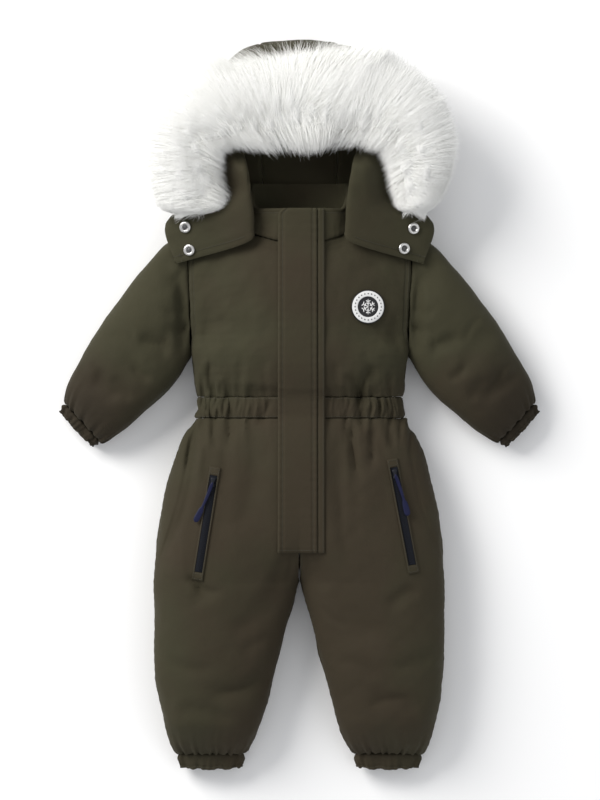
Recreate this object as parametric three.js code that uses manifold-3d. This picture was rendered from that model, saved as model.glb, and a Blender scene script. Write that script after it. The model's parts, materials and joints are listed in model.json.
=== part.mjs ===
// A toddler's padded snowsuit with a fur-trimmed hood, lying on its back with the front facing up.
// Sizes are in millimetres. +X points to the wearer's left, +Y from the ankles to the hood, and
// +Z up from the surface that the suit lies on. The walls are padded cloth around empty hollows.
import * as THREE from "three";
import { mergeVertices } from "three/addons/utils/BufferGeometryUtils.js";
import Module from "manifold-3d";

// Walls and gaps
const SEAM_GAP = 0.3;
const BED_REACH = 7;
const PANEL_WALL = 6;
const CASING_WALL = 4;
const CUFF_WALL = 3;
const COLLAR_WALL = 5;
const HOOD_WALL = 6;
const PLACKET_WALL = 3;

// Levels along the suit, from the ankle seams up to the neck
const ANKLE_SEAM_Y = -455;
const CROTCH_Y = -217;
const CROTCH_CURVE_START_Y = -60;
const CROTCH_CURVE_POWER = 2.5;
const CASING_BOTTOM_Y = -16.5;
const CASING_TOP_Y = 11.3;
const ARMPIT_Y = 67;
const NECK_FRONT_Y = 211;
const NECK_BACK_Y = 240;
const NECK_SIDE = { x: 82, y: 235 };
const SHOULDER_END = { x: 146, y: 221 };
const NECK_CURVE_POWER = 2.3;

// Roundness of the padded tubes
const SIDE_ROUNDNESS = 0.75;
const ARMHOLE_ROUNDNESS = 2;
const ARMHOLE_BLEND = 40;
const UNDERSIDE_CORNER = 0.55;
const SHOULDER_DROP_LENGTH = 75;
const BACK_DROP_LENGTH = 50;
const NAPE_HALF = 55;
const ARMHOLE_TOP_Z = 58;
const ARMHOLE_ARCH = 0.6;

// Half of the body at each level: the side seam, the inseam, the highest point and the seam's level
const BODY_ROWS = [
  { y: -470, outer: 152, inner: 78, top: 30, edge: 14 },
  { y: -455, outer: 160, inner: 70, top: 37, edge: 17 },
  { y: -440, outer: 168, inner: 60.5, top: 54, edge: 24 },
  { y: -409, outer: 177, inner: 49, top: 72, edge: 31 },
  { y: -346, outer: 187, inner: 32, top: 82, edge: 36 },
  { y: -284, outer: 188.5, inner: 16.5, top: 86, edge: 38 },
  { y: -217, outer: 188, inner: 0, top: 89, edge: 38 },
  { y: -159, outer: 183, inner: 0, top: 91, edge: 38 },
  { y: -97, outer: 171, inner: 0, top: 91, edge: 37 },
  { y: -50, outer: 155, inner: 0, top: 88, edge: 35 },
  { y: -30, outer: 144.5, inner: 0, top: 84, edge: 34 },
  { y: -17, outer: 135.5, inner: 0, top: 79, edge: 33 },
  { y: 11, outer: 133.3, inner: 0, top: 79, edge: 33 },
  { y: 30, outer: 136.5, inner: 0, top: 88, edge: 33 },
  { y: 67, outer: 140, inner: 0, top: 94, edge: 32 },
  { y: 130, outer: 142.5, inner: 0, top: 93, edge: 34 },
  { y: 221, outer: 146, inner: 0, top: 82, edge: 38 },
  { y: 250, outer: 146, inner: 0, top: 78, edge: 40 },
];

// One sleeve: its upper edge, its under edge, its highest point and the level of its edges
const SLEEVE_ROWS = [
  { s: 0, upperX: 146, upperY: 221, underX: 140, underY: 67, top: 58, edge: 38, underEdge: 32 },
  { s: 0.12, upperX: 172, upperY: 209, underX: 147, underY: 56, top: 67, edge: 36, underEdge: 32 },
  { s: 0.25, upperX: 202, upperY: 178, underX: 160, underY: 34, top: 71, edge: 34, underEdge: 32 },
  { s: 0.42, upperX: 235, upperY: 137, underX: 182, underY: 9, top: 72, edge: 32, underEdge: 31 },
  { s: 0.6, upperX: 262, upperY: 98, underX: 206, underY: -12, top: 68, edge: 30, underEdge: 29 },
  { s: 0.78, upperX: 285, upperY: 60, underX: 228, underY: -31, top: 60, edge: 27, underEdge: 26 },
  { s: 0.91, upperX: 301, upperY: 29, underX: 244, underY: -42, top: 49, edge: 22, underEdge: 22 },
  { s: 1, upperX: 308, upperY: 3, underX: 259, underY: -50, top: 36, edge: 17, underEdge: 17 },
];

// Elastic cuffs: two ends, each with the half width, the height and the way out along the limb
const CUFF_WAVES = 16;
const CUFF_WAVE_DEPTH = 1.1;
const ANKLE_CUFF = { depth: 20, seamHalf: 44.5, waistHalf: 41, hemHalf: 40, seamTop: 34, hemTop: 30 };
const WRIST_CUFF = { depth: 13, seamHalf: 35, waistHalf: 31, hemHalf: 31, seamTop: 33, hemTop: 29 };

// Elastic casing at the waist
const CASING_WAVES = 11;
const CASING_BACK_WAVES = 20;
const CASING_WAVE_DEPTH = 1.3;

// Soft folds pressed into the front, as troughs between two points
const FRONT_FOLDS = [
  { x0: 96, y0: 48, x1: 76, y1: 14, reach: 9, depth: 3 },
  { x0: 64, y0: 36, x1: 82, y1: 4, reach: 8, depth: 3 },
  { x0: -116, y0: 52, x1: -112, y1: 16, reach: 8, depth: 3 },
  { x0: -93, y0: 22, x1: -89, y1: -46, reach: 8, depth: 3 },
  { x0: 77, y0: 16, x1: 82, y1: -27, reach: 8, depth: 2.5 },
  { x0: 68, y0: -28, x1: 74, y1: -78, reach: 8, depth: 3 },
  { x0: -131, y0: -22, x1: -144, y1: -77, reach: 9, depth: 4 },
  { x0: -112, y0: -372, x1: -38, y1: -352, reach: 16, depth: 4 },
  { x0: -142, y0: -222, x1: -118, y1: -250, reach: 10, depth: 3 },
  { x0: 150, y0: -236, x1: 118, y1: -262, reach: 12, depth: 2.5 },
];
const SLEEVE_FOLDS = [
  { x0: 156, y0: 160, x1: 152, y1: 78, reach: 9, depth: 4 },
  { x0: 206, y0: 84, x1: 172, y1: 72, reach: 10, depth: 3 },
  { x0: 262, y0: 40, x1: 236, y1: 12, reach: 12, depth: 3 },
];

// Placket over the front opening, and the narrow band beside it
const PLACKET = { right: -28, left: 23.4, top: 255, bottom: -190.5, corner: 7 };
const PLACKET_LIFT = 0.6;
const PLACKET_BAND = { right: 24, left: 32.5 };

// Collar: a short tube that stands around the neck, open at the front under the placket
const COLLAR = { baseHalf: 69, topHalf: 65, baseLow: 8.5, baseHigh: 80, topLow: 9, topHigh: 79 };
const COLLAR_FRONT_TOP_Y = 255;
const COLLAR_RISE = 34;
const COLLAR_SQUARENESS = 0.8;
const COLLAR_OPENING_HALF = 1;
const COLLAR_BACK_SHIFT = 20;
const COLLAR_CORE_INSET = 30;
const COLLAR_RISE_START = 0.9;
const COLLAR_RISE_END = 1.9;

// Half of the hood, from the middle of the back across to the front rim, row by row up from the neck
const HOOD_ROWS = [
  { centre: [0, 240.6, 3], seam: [48, 240.2, 3], low: [84, 246, 14], high: [96, 243, 46],
    roll: [62, 214, 84], rim: [160, 183, 62] },
  { centre: [0, 285, 3], seam: [48, 285, 3], low: [95, 282, 10], high: [110, 264, 46],
    roll: [65, 262, 88], rim: [174, 230, 60] },
  { centre: [0, 325, 3], seam: [50, 325, 3], low: [106, 318, 9], high: [126, 302, 48],
    roll: [68, 292, 93], rim: [154, 262, 77] },
  { centre: [0, 362, 3], seam: [50, 362, 3.2], low: [113, 352, 11], high: [136, 338, 52],
    roll: [76, 326, 97], rim: [158, 312, 89] },
  { centre: [0, 400, 4.5], seam: [51, 397, 5], low: [112, 386, 15], high: [137, 368, 60],
    roll: [102, 352, 101], rim: [146, 354, 97] },
  { centre: [0, 436, 13], seam: [52, 431, 13.5], low: [104, 417, 23], high: [124, 397, 68],
    roll: [110, 377, 103], rim: [124, 380, 104] },
  { centre: [0, 462, 30], seam: [52, 457, 30], low: [92, 442, 39], high: [104, 416, 80],
    roll: [95, 393, 104], rim: [97, 394, 106] },
  { centre: [0, 471, 52], seam: [51, 466, 52], low: [77, 453, 63], high: [84, 427, 92],
    roll: [78, 403, 105], rim: [78, 401, 107] },
  { centre: [0, 452, 84], seam: [51, 447, 84], low: [65, 439, 90], high: [72, 423, 99],
    roll: [70, 409, 104], rim: [70, 402, 106] },
  { centre: [0, 405, 104], seam: [50, 404, 104], low: [53, 403.7, 104], high: [56, 403.3, 104],
    roll: [59, 403, 104], rim: [62, 402.7, 104] },
];
const HOOD_COLUMNS = ["centre", "seam", "low", "high", "roll", "rim"];
const HOOD_SEAM_SHARE = 0.006;
const FLAP_CLEARANCE = 1.2;
const FLAP_SOFTNESS = 4;

// Fur trim around the hood's rim: its outer and inner edge in plan, with its lowest and highest level
const FUR_ROWS = [
  { outer: [-160, 247], inner: [-124, 246], low: 62, high: 84 },
  { outer: [-179, 256], inner: [-104, 254], low: 54, high: 96 },
  { outer: [-194, 287], inner: [-98, 274], low: 52, high: 106 },
  { outer: [-199, 332], inner: [-106, 308], low: 54, high: 116 },
  { outer: [-192, 374], inner: [-104, 327], low: 58, high: 121 },
  { outer: [-168, 410], inner: [-82, 335], low: 60, high: 124 },
  { outer: [-129, 441], inner: [-54, 336], low: 62, high: 125 },
  { outer: [-77, 459], inner: [-27, 337], low: 64, high: 125 },
  { outer: [0, 466], inner: [2, 337], low: 66, high: 125 },
  { outer: [70, 467], inner: [33, 339], low: 64, high: 125 },
  { outer: [124, 447], inner: [66, 340], low: 62, high: 125 },
  { outer: [167, 415], inner: [96, 336], low: 60, high: 124 },
  { outer: [192, 377], inner: [112, 323], low: 58, high: 120 },
  { outer: [202, 335], inner: [119, 304], low: 54, high: 114 },
  { outer: [194, 293], inner: [122, 278], low: 52, high: 104 },
  { outer: [176, 259], inner: [128, 256], low: 54, high: 94 },
  { outer: [164, 250], inner: [136, 249], low: 62, high: 84 },
];
const FUR_STEPS_PER_ROW = 2;
const FUR_SIDES = 10;
const FUR_LOBE_DEPTH = 0.05;
const FUR_CLEARANCE = 0.5;

// Snaps on the hood's flaps, chest patch and zipped pockets
const SNAP_RADIUS = 7.5;
const SNAP_LIFT = 0.9;
const SNAP_SIDES = 14;
const PATCH_LIFT = 0.8;
const SNAP_SPOTS = [
  { name: "snap_right_upper", x: -147.4, y: 230 },
  { name: "snap_right_lower", x: -142.6, y: 200.6 },
  { name: "snap_left_upper", x: 146.8, y: 228.3 },
  { name: "snap_left_lower", x: 134, y: 202 },
];
const PATCH = { x: 88.5, y: 127.4, radius: 21.8, thickness: 1.6 };
const PATCH_RING = { inner: 13.4, outer: 20.6, raise: 0.8 };
const POCKETS = [
  { side: "right", topX: -110.5, topY: -90, bottomX: -130.4, bottomY: -215, pullX: -134.6, pullY: -150 },
  { side: "left", topX: 121.6, topY: -79.6, bottomX: 145.5, bottomY: -205.7, pullX: 140, pullY: -142 },
];
const ZIP_HALF = 4.6;
const WELT_HALF = 8;
const WELT_END = 7;
const ZIP_WALL = 1.2;
const WELT_WALL = 2;
const WELT_LIFT = 0.6;
const ZIP_SLIDER = { start: 3, length: 12, half: 3.6, wall: 2.4 };
const PULL_WALL = 2.6;
const PULL_ROWS = [
  { share: 0, half: 1.8 }, { share: 0.15, half: 3.4 }, { share: 0.4, half: 3.6 }, { share: 0.62, half: 3 },
  { share: 0.7, half: 4.4 }, { share: 0.88, half: 5 }, { share: 1, half: 3.4 },
];

const cloth = new THREE.MeshStandardMaterial({ color: 0x3f3b2e, roughness: 0.85, metalness: 0 });
const cuffCloth = new THREE.MeshStandardMaterial({ color: 0x3a362a, roughness: 0.9, metalness: 0 });
const furHair = new THREE.MeshStandardMaterial({ color: 0xf2f1ec, roughness: 0.95, metalness: 0 });
const snapMetal = new THREE.MeshStandardMaterial({ color: 0xb9babb, roughness: 0.3, metalness: 1 });
const patchDark = new THREE.MeshStandardMaterial({ color: 0x15161a, roughness: 0.5, metalness: 0 });
const patchPale = new THREE.MeshStandardMaterial({ color: 0xe8e8e6, roughness: 0.5, metalness: 0 });
const zipTape = new THREE.MeshStandardMaterial({ color: 0x16181f, roughness: 0.7, metalness: 0 });
const pullNavy = new THREE.MeshStandardMaterial({ color: 0x1c2340, roughness: 0.6, metalness: 0 });

const clamp = (value, low, high) => Math.min(high, Math.max(low, value));
const mix = (from, to, share) => from + (to - from) * share;
const smooth = (from, to, value) => {
  const share = clamp((value - from) / (to - from), 0, 1);
  return share * share * (3 - 2 * share);
};
const spread = (from, to, count) => Array.from({ length: count + 1 }, (_, i) => mix(from, to, i / count));

// Reads a column of a table between its rows, without overshooting any of them
function readRows(rows, key, column, at) {
  const last = rows.length - 1;
  if (at <= rows[0][key]) return rows[0][column];
  if (at >= rows[last][key]) return rows[last][column];
  const secant = (j) => (rows[j + 1][column] - rows[j][column]) / (rows[j + 1][key] - rows[j][key]);
  const tangent = (j) => {
    if (j === 0) return secant(0);
    if (j === last) return secant(last - 1);
    const before = secant(j - 1);
    const after = secant(j);
    return before * after <= 0 ? 0 : (2 * before * after) / (before + after);
  };
  let i = 0;
  while (at > rows[i + 1][key]) i += 1;
  const span = rows[i + 1][key] - rows[i][key];
  const t = (at - rows[i][key]) / span;
  const rise = (1 + 2 * t) * (1 - t) ** 2 * rows[i][column] + t * t * (3 - 2 * t) * rows[i + 1][column];
  const lean = t * (1 - t) ** 2 * tangent(i) - t * t * (1 - t) * tangent(i + 1);
  return rise + span * lean;
}

// A quarter circle from 0 to 1, upright at its start
const quarter = (share) => Math.sqrt(1 - (1 - clamp(share, 0, 1)) ** 2);

// Depth of the troughs at a place in plan
function foldDepth(folds, x, y) {
  let depth = 0;
  for (const fold of folds) {
    const dx = fold.x1 - fold.x0;
    const dy = fold.y1 - fold.y0;
    const length = Math.hypot(dx, dy);
    const along = ((x - fold.x0) * dx + (y - fold.y0) * dy) / (length * length);
    const across = ((x - fold.x0) * dy - (y - fold.y0) * dx) / length;
    const ends = smooth(-0.25, 0.2, along) * (1 - smooth(0.8, 1.25, along));
    depth += fold.depth * ends * Math.exp(-((across / fold.reach) ** 2));
  }
  return depth;
}

// The body's tube. Angle 0 is the side seam, positive angles run over the front and negative ones
// under the back. Above the crotch the tube of each half is cut by the middle plane.
const body = (column, y) => readRows(BODY_ROWS, "y", column, y);

function crotchShare(y) {
  const share = clamp((CROTCH_CURVE_START_Y - y) / (CROTCH_CURVE_START_Y - CROTCH_Y), 0, 1);
  return share ** CROTCH_CURVE_POWER;
}

function halfTube(y) {
  const outer = body("outer", y);
  if (y < CROTCH_Y) {
    const inner = body("inner", y);
    return { middle: (outer + inner) / 2, half: (outer - inner) / 2 };
  }
  const share = crotchShare(y);
  const half = outer / (1 + share);
  return { middle: share * half, half };
}

// Where the shoulder seam, or its line carried on across the neck, lies at a distance from the middle
const SHOULDER_SLOPE = (NECK_SIDE.y - SHOULDER_END.y) / (SHOULDER_END.x - NECK_SIDE.x);
function shoulderLineY(x) {
  if (x > NECK_SIDE.x) return SHOULDER_END.y + SHOULDER_SLOPE * (SHOULDER_END.x - x);
  return NECK_SIDE.y + (SHOULDER_SLOPE * (NECK_SIDE.x ** 2 - x ** 2)) / (2 * NECK_SIDE.x);
}
const neckFrontY = (x) => mix(NECK_FRONT_Y, NECK_SIDE.y, clamp(x / NECK_SIDE.x, 0, 1) ** NECK_CURVE_POWER);
const neckBackY = (x) => mix(NECK_BACK_Y, NECK_SIDE.y, clamp(x / NECK_SIDE.x, 0, 1) ** 2);

// Angle around the armhole's loop: 0 at the armpit and a half turn at the shoulder
function armholeSine(y) {
  const share = clamp((y - ARMPIT_Y) / (SHOULDER_END.y - ARMPIT_Y), 0, 1);
  return Math.sqrt(Math.max(0, 1 - (1 - 2 * share) ** 2));
}

const underside = (edge, sine) => edge * (1 - quarter(sine / UNDERSIDE_CORNER));

// The wall's height on the front at a side distance x (0 to the side seam) and a level y
function frontLevel(sine, x, y) {
  const edge = body("edge", y);
  if (y <= ARMPIT_Y) return edge + (body("top", y) - edge) * sine ** SIDE_ROUNDNESS;
  const arch = edge + (ARMHOLE_TOP_Z - edge) * armholeSine(y) ** ARMHOLE_ARCH;
  const roundness = mix(SIDE_ROUNDNESS, ARMHOLE_ROUNDNESS, smooth(0, ARMHOLE_BLEND, y - ARMPIT_Y));
  const drop = quarter((shoulderLineY(x) - y) / SHOULDER_DROP_LENGTH);
  return arch + (body("top", y) - arch) * sine ** roundness * drop;
}

function backLevel(sine, x, y) {
  const edge = body("edge", y);
  if (y <= ARMPIT_Y) return underside(edge, sine);
  const arch = underside(edge, armholeSine(y));
  const drop = quarter((shoulderLineY(x) - y) / BACK_DROP_LENGTH);
  const flatNape = 1 - smooth(NAPE_HALF, NECK_SIDE.x, x);
  return arch * (1 - quarter(sine / UNDERSIDE_CORNER) * Math.max(drop, flatNape));
}

function bodyPoint(side, angle, y) {
  const tube = halfTube(y);
  const x = tube.middle + tube.half * Math.cos(angle);
  const sine = Math.abs(Math.sin(angle));
  if (angle < 0) return new THREE.Vector3(side * x, y, backLevel(sine, x, y));
  const level = frontLevel(sine, x, y) - foldDepth(FRONT_FOLDS, side * x, y) * smooth(0.1, 0.5, sine);
  return new THREE.Vector3(side * x, y, level);
}

// The front's height over a place in plan
function frontHeight(x, y) {
  const tube = halfTube(y);
  const cosine = clamp((Math.abs(x) - tube.middle) / tube.half, -1, 1);
  return bodyPoint(x < 0 ? -1 : 1, Math.acos(cosine), y).z;
}

// The sleeve's tube: s runs from the armhole to the wrist, and the angle is 0 at the upper edge
function sleevePoint(side, s, angle) {
  const read = (column) => readRows(SLEEVE_ROWS, "s", column, s);
  const share = (1 + Math.cos(angle)) / 2;
  const x = mix(read("underX"), read("upperX"), share);
  const y = mix(read("underY"), read("upperY"), share);
  const edge = mix(read("underEdge"), read("edge"), share);
  const sine = Math.abs(Math.sin(angle));
  if (Math.sin(angle) < 0) return new THREE.Vector3(side * x, y, underside(edge, sine));
  const roundness = mix(ARMHOLE_ARCH, SIDE_ROUNDNESS, smooth(0, 0.3, s));
  const fold = foldDepth(SLEEVE_FOLDS, x, y) * smooth(0.1, 0.5, sine);
  return new THREE.Vector3(side * x, y, edge + (read("top") - edge) * sine ** roundness - fold);
}

// The sleeve's height over a place in plan, or 0 beside it
function sleeveHeight(x, y) {
  const steps = 60;
  let before = null;
  for (let i = 0; i <= steps; i += 1) {
    const s = i / steps;
    const upper = [readRows(SLEEVE_ROWS, "s", "upperX", s), readRows(SLEEVE_ROWS, "s", "upperY", s)];
    const under = [readRows(SLEEVE_ROWS, "s", "underX", s), readRows(SLEEVE_ROWS, "s", "underY", s)];
    const along = [upper[0] - under[0], upper[1] - under[1]];
    const past = (x - under[0]) * along[1] - (y - under[1]) * along[0];
    if (before !== null && before > 0 !== past > 0) {
      const share = ((x - under[0]) * along[0] + (y - under[1]) * along[1]) / (along[0] ** 2 + along[1] ** 2);
      if (share < 0 || share > 1) return 0;
      return sleevePoint(1, s, Math.acos(clamp(2 * share - 1, -1, 1))).z;
    }
    before = past;
  }
  return 0;
}

// What a flap lies on at a place in plan: the bodice or the sleeve, whichever is higher
function restingHeight(x, y) {
  const overBodice = Math.abs(x) < SHOULDER_END.x && y < shoulderLineY(Math.abs(x));
  const bodice = overBodice ? frontHeight(x, y) : 0;
  return Math.max(bodice, sleeveHeight(Math.abs(x), y));
}

// Turns a tube's surface into a closed wall. The way through the wall runs from each surface point
// towards the tube's core, so that pieces that share a seam share its cut too. The outer points lie
// `raise` outside the surface and the inner ones `wall` inside it.
function wallTowards(surface, core, us, vs, { wall, raise = () => 0, closed = false }) {
  const points = [[], []];
  for (const u of us) {
    for (const v of vs) {
      const point = surface(u, v);
      const outwards = point.clone().sub(core(point, u, v)).normalize();
      points[0].push(point.clone().addScaledVector(outwards, raise(u, v)));
      points[1].push(point.clone().addScaledVector(outwards, -wall));
    }
  }
  return solidFromGrid(points, us.length, vs.length, closed);
}

// Turns the middle surface of a sheet into a closed wall, along the sheet's own normals
function wallAround(surface, us, vs, wall) {
  const step = 1e-3;
  const points = [[], []];
  for (const u of us) {
    for (const v of vs) {
      const alongU = surface(u + step, v).sub(surface(u - step, v));
      const alongV = surface(u, v + step).sub(surface(u, v - step));
      const normal = alongU.cross(alongV).normalize();
      points[0].push(surface(u, v).addScaledVector(normal, wall / 2));
      points[1].push(surface(u, v).addScaledVector(normal, -wall / 2));
    }
  }
  return solidFromGrid(points, us.length, vs.length, false);
}

function solidFromGrid(points, rows, columns, closed) {
  const at = (layer, i, j) => layer * rows * columns + i * columns + (j % columns);
  return solidFromLayers(points.flat(), at, rows, columns, closed);
}

// Faces of a solid that has two layers of points on one grid, and rims around the grid's edges
function solidFromLayers(points, at, rows, columns, closed) {
  const triangles = [];
  const quad = (a, b, c, d) => triangles.push(a, b, c, a, c, d);
  const columnSteps = closed ? columns : columns - 1;
  for (let i = 0; i < rows - 1; i += 1) {
    for (let j = 0; j < columnSteps; j += 1) {
      quad(at(0, i, j), at(0, i + 1, j), at(0, i + 1, j + 1), at(0, i, j + 1));
      quad(at(1, i, j), at(1, i, j + 1), at(1, i + 1, j + 1), at(1, i + 1, j));
    }
    if (!closed) {
      quad(at(0, i, 0), at(1, i, 0), at(1, i + 1, 0), at(0, i + 1, 0));
      const end = columns - 1;
      quad(at(0, i, end), at(0, i + 1, end), at(1, i + 1, end), at(1, i, end));
    }
  }
  const bottom = rows - 1;
  for (let j = 0; j < columnSteps; j += 1) {
    quad(at(0, 0, j), at(0, 0, j + 1), at(1, 0, j + 1), at(1, 0, j));
    quad(at(0, bottom, j), at(1, bottom, j), at(1, bottom, j + 1), at(0, bottom, j + 1));
  }
  return outwardGeometry(points, triangles);
}

// A geometry with its faces turned outwards
function outwardGeometry(points, triangles) {
  let volume = 0;
  for (let i = 0; i < triangles.length; i += 3) {
    const [a, b, c] = [points[triangles[i]], points[triangles[i + 1]], points[triangles[i + 2]]];
    volume += a.dot(new THREE.Vector3().crossVectors(b, c));
  }
  const index = [...triangles];
  if (volume < 0) {
    for (let i = 0; i < index.length; i += 3) [index[i + 1], index[i + 2]] = [index[i + 2], index[i + 1]];
  }
  const geometry = new THREE.BufferGeometry();
  const places = points.flatMap((point) => point.toArray());
  geometry.setAttribute("position", new THREE.Float32BufferAttribute(places, 3));
  geometry.setIndex(index);
  return geometry;
}

// The highest of a height field close to a place, so that a slab clears the facets under it
function highestNear(height, x, y) {
  return Math.max(...[-BED_REACH, 0, BED_REACH].map((step) => height(x, y + step)));
}
const frontBed = (x, y) => highestNear(frontHeight, x, y);

// A thin slab that lies on a height field: each row goes from one point in plan to another
function slabOn(height, rows, across, lift, wall, closed = false) {
  const points = [];
  const columns = across + 1;
  for (const level of [lift + wall, lift]) {
    for (const [from, to] of rows) {
      for (let j = 0; j < columns; j += 1) {
        const x = mix(from[0], to[0], j / across);
        const y = mix(from[1], to[1], j / across);
        points.push(new THREE.Vector3(x, y, height(x, y) + level));
      }
    }
  }
  const at = (layer, i, j) => layer * rows.length * columns + (i % rows.length) * columns + j;
  if (!closed) return solidFromLayers(points, at, rows.length, columns, false);
  const turned = (layer, i, j) => at(layer, j, i);
  return solidFromLayers(points, turned, columns, rows.length, true);
}

const group = new THREE.Group();

function addPiece(name, geometry, material) {
  const mesh = new THREE.Mesh(geometry, material);
  mesh.name = name;
  group.add(mesh);
  return mesh;
}

const SIDES = [
  { name: "right", sign: -1 },
  { name: "left", sign: 1 },
];
const HALF_GAP = SEAM_GAP / 2;
const SEAM_ANGLE = 0.004;
const MIDDLE_ANGLE_GAP = 0.0012;
const CORE_INSET = 30;
const LOWER_LEG_Y = -409;
const SLEEVE_SEAM_SHARE = 0.01;
const CUFF_WAIST = 0.55;

// Angle at which a half's tube reaches the middle plane, or the inseam below the crotch
function middleAngle(y) {
  const tube = halfTube(y);
  return Math.acos(clamp((HALF_GAP - tube.middle) / tube.half, -1, 1));
}

// The body's core: a flat bar inside each half, drawn back from the side seams and the shoulders
function bodyCore(point) {
  const { x, y } = point;
  const tube = halfTube(y);
  const sign = x < 0 ? -1 : 1;
  const opening = smooth(0, CORE_INSET, y - ARMPIT_Y);
  const outerEnd = tube.middle + tube.half - CORE_INSET * (1 - opening);
  const innerEnd = tube.middle - tube.half + CORE_INSET;
  const coreX = clamp(Math.abs(x), innerEnd, outerEnd);
  const coreY = Math.min(y, shoulderLineY(Math.abs(x)) - CORE_INSET);
  return new THREE.Vector3(sign * coreX, coreY, body("edge", y));
}

// Front and back of the bodice, from the casing up to the neck, shoulders and armholes
function addBodice() {
  const bottom = CASING_TOP_Y + HALF_GAP;
  const topEdge = (angle, neck) => {
    const x = SHOULDER_END.x * Math.cos(Math.abs(angle));
    return (x < NECK_SIDE.x ? neck(x) : shoulderLineY(x)) - HALF_GAP;
  };
  const neckAngle = Math.acos(NECK_SIDE.x / SHOULDER_END.x);
  const levels = [...spread(0, 0.3, 4), ...spread(0.3, 1, 8).slice(1)];
  const quarterAngles = [...spread(SEAM_ANGLE, neckAngle, 5), ...spread(neckAngle, Math.PI / 2, 4).slice(1)];
  for (const { name, sign } of SIDES) {
    const surface = (angle, v) => bodyPoint(sign, angle, mix(bottom, topEdge(angle, neckFrontY), v));
    const angles = quarterAngles.map((angle) => Math.min(angle, Math.PI / 2 - MIDDLE_ANGLE_GAP));
    const geometry = wallTowards(surface, bodyCore, angles, levels, { wall: PANEL_WALL });
    addPiece(`bodice_front_${name}`, geometry, cloth);
  }
  const backSurface = (angle, v) => {
    const sign = angle < Math.PI / 2 ? -1 : 1;
    const turn = sign < 0 ? angle : Math.PI - angle;
    return bodyPoint(sign, -turn, mix(bottom, topEdge(turn, neckBackY), v));
  };
  const backAngles = [...quarterAngles, ...quarterAngles.slice(0, -1).reverse().map((a) => Math.PI - a)];
  const back = wallTowards(backSurface, bodyCore, backAngles, levels, { wall: PANEL_WALL });
  addPiece("bodice_back", back, cloth);
}

// Gathered casing of the waist elastic
function addCasing() {
  const levels = spread(CASING_BOTTOM_Y + HALF_GAP, CASING_TOP_Y - HALF_GAP, 2);
  const gathers = (turns) => -CASING_WAVE_DEPTH * (0.5 - 0.5 * Math.cos(2 * Math.PI * turns));
  for (const { name, sign } of SIDES) {
    const end = middleAngle(0);
    const raise = (angle) => gathers((CASING_WAVES * angle) / end) * smooth(0.9, 0.7, angle / end);
    const surface = (angle, y) => bodyPoint(sign, angle, y);
    const angles = spread(SEAM_ANGLE, end, CASING_WAVES * 2);
    const size = { wall: CASING_WALL, raise };
    const front = wallTowards(surface, bodyCore, angles, levels, size);
    addPiece(`waist_casing_front_${name}`, front, cloth);
  }
  const backSurface = (angle, y) => {
    const sign = angle < Math.PI / 2 ? -1 : 1;
    return bodyPoint(sign, sign < 0 ? -angle : angle - Math.PI, y);
  };
  const angles = spread(SEAM_ANGLE, Math.PI - SEAM_ANGLE, CASING_BACK_WAVES * 2);
  const size = { wall: CASING_WALL, raise: (angle) => gathers((CASING_BACK_WAVES * angle) / Math.PI) };
  const back = wallTowards(backSurface, bodyCore, angles, levels, size);
  addPiece("waist_casing_back", back, cloth);
}

// Front and back of each trouser half, from the casing to the ankle, joined along side and inseam
function addTrousers() {
  const top = CASING_BOTTOM_Y - HALF_GAP;
  const bottom = ANKLE_SEAM_Y + HALF_GAP;
  const levels = [
    ...spread(bottom, LOWER_LEG_Y, 4), ...spread(LOWER_LEG_Y, CROTCH_Y, 5).slice(1),
    ...spread(CROTCH_Y, CROTCH_CURVE_START_Y, 6).slice(1), ...spread(CROTCH_CURVE_START_Y, top, 3).slice(1),
  ];
  for (const { name, sign } of SIDES) {
    for (const [face, turn] of [["front", 1], ["back", -1]]) {
      const surface = (share, y) => {
        const angle = mix(SEAM_ANGLE, middleAngle(y) - SEAM_ANGLE, share);
        return bodyPoint(sign, turn * angle, y);
      };
      const geometry = wallTowards(surface, bodyCore, spread(0, 1, 9), levels, { wall: PANEL_WALL });
      addPiece(`trouser_${face}_${name}`, geometry, cloth);
    }
  }
}

// Sleeves, each a tube from the armhole to the wrist
function addSleeves() {
  const stations = [SLEEVE_SEAM_SHARE, 0.06, 0.14, 0.24, 0.36, 0.5, 0.64, 0.78, 0.88, 0.95, 1];
  const angles = spread(0, 2 * Math.PI, 18).slice(0, -1);
  for (const { name, sign } of SIDES) {
    const surface = (s, angle) => sleevePoint(sign, s, angle);
    const core = (point, s, angle) => {
      const inset = CORE_INSET / 2 / (1 + s);
      const upper = sleevePoint(sign, s, 0);
      const under = sleevePoint(sign, s, Math.PI);
      const share = inset / upper.distanceTo(under);
      return under.lerp(upper, clamp((1 + Math.cos(angle)) / 2, share, 1 - share));
    };
    const geometry = wallTowards(surface, core, stations, angles, { wall: PANEL_WALL, closed: true });
    addPiece(`sleeve_${name}`, geometry, cloth);
  }
}

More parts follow.
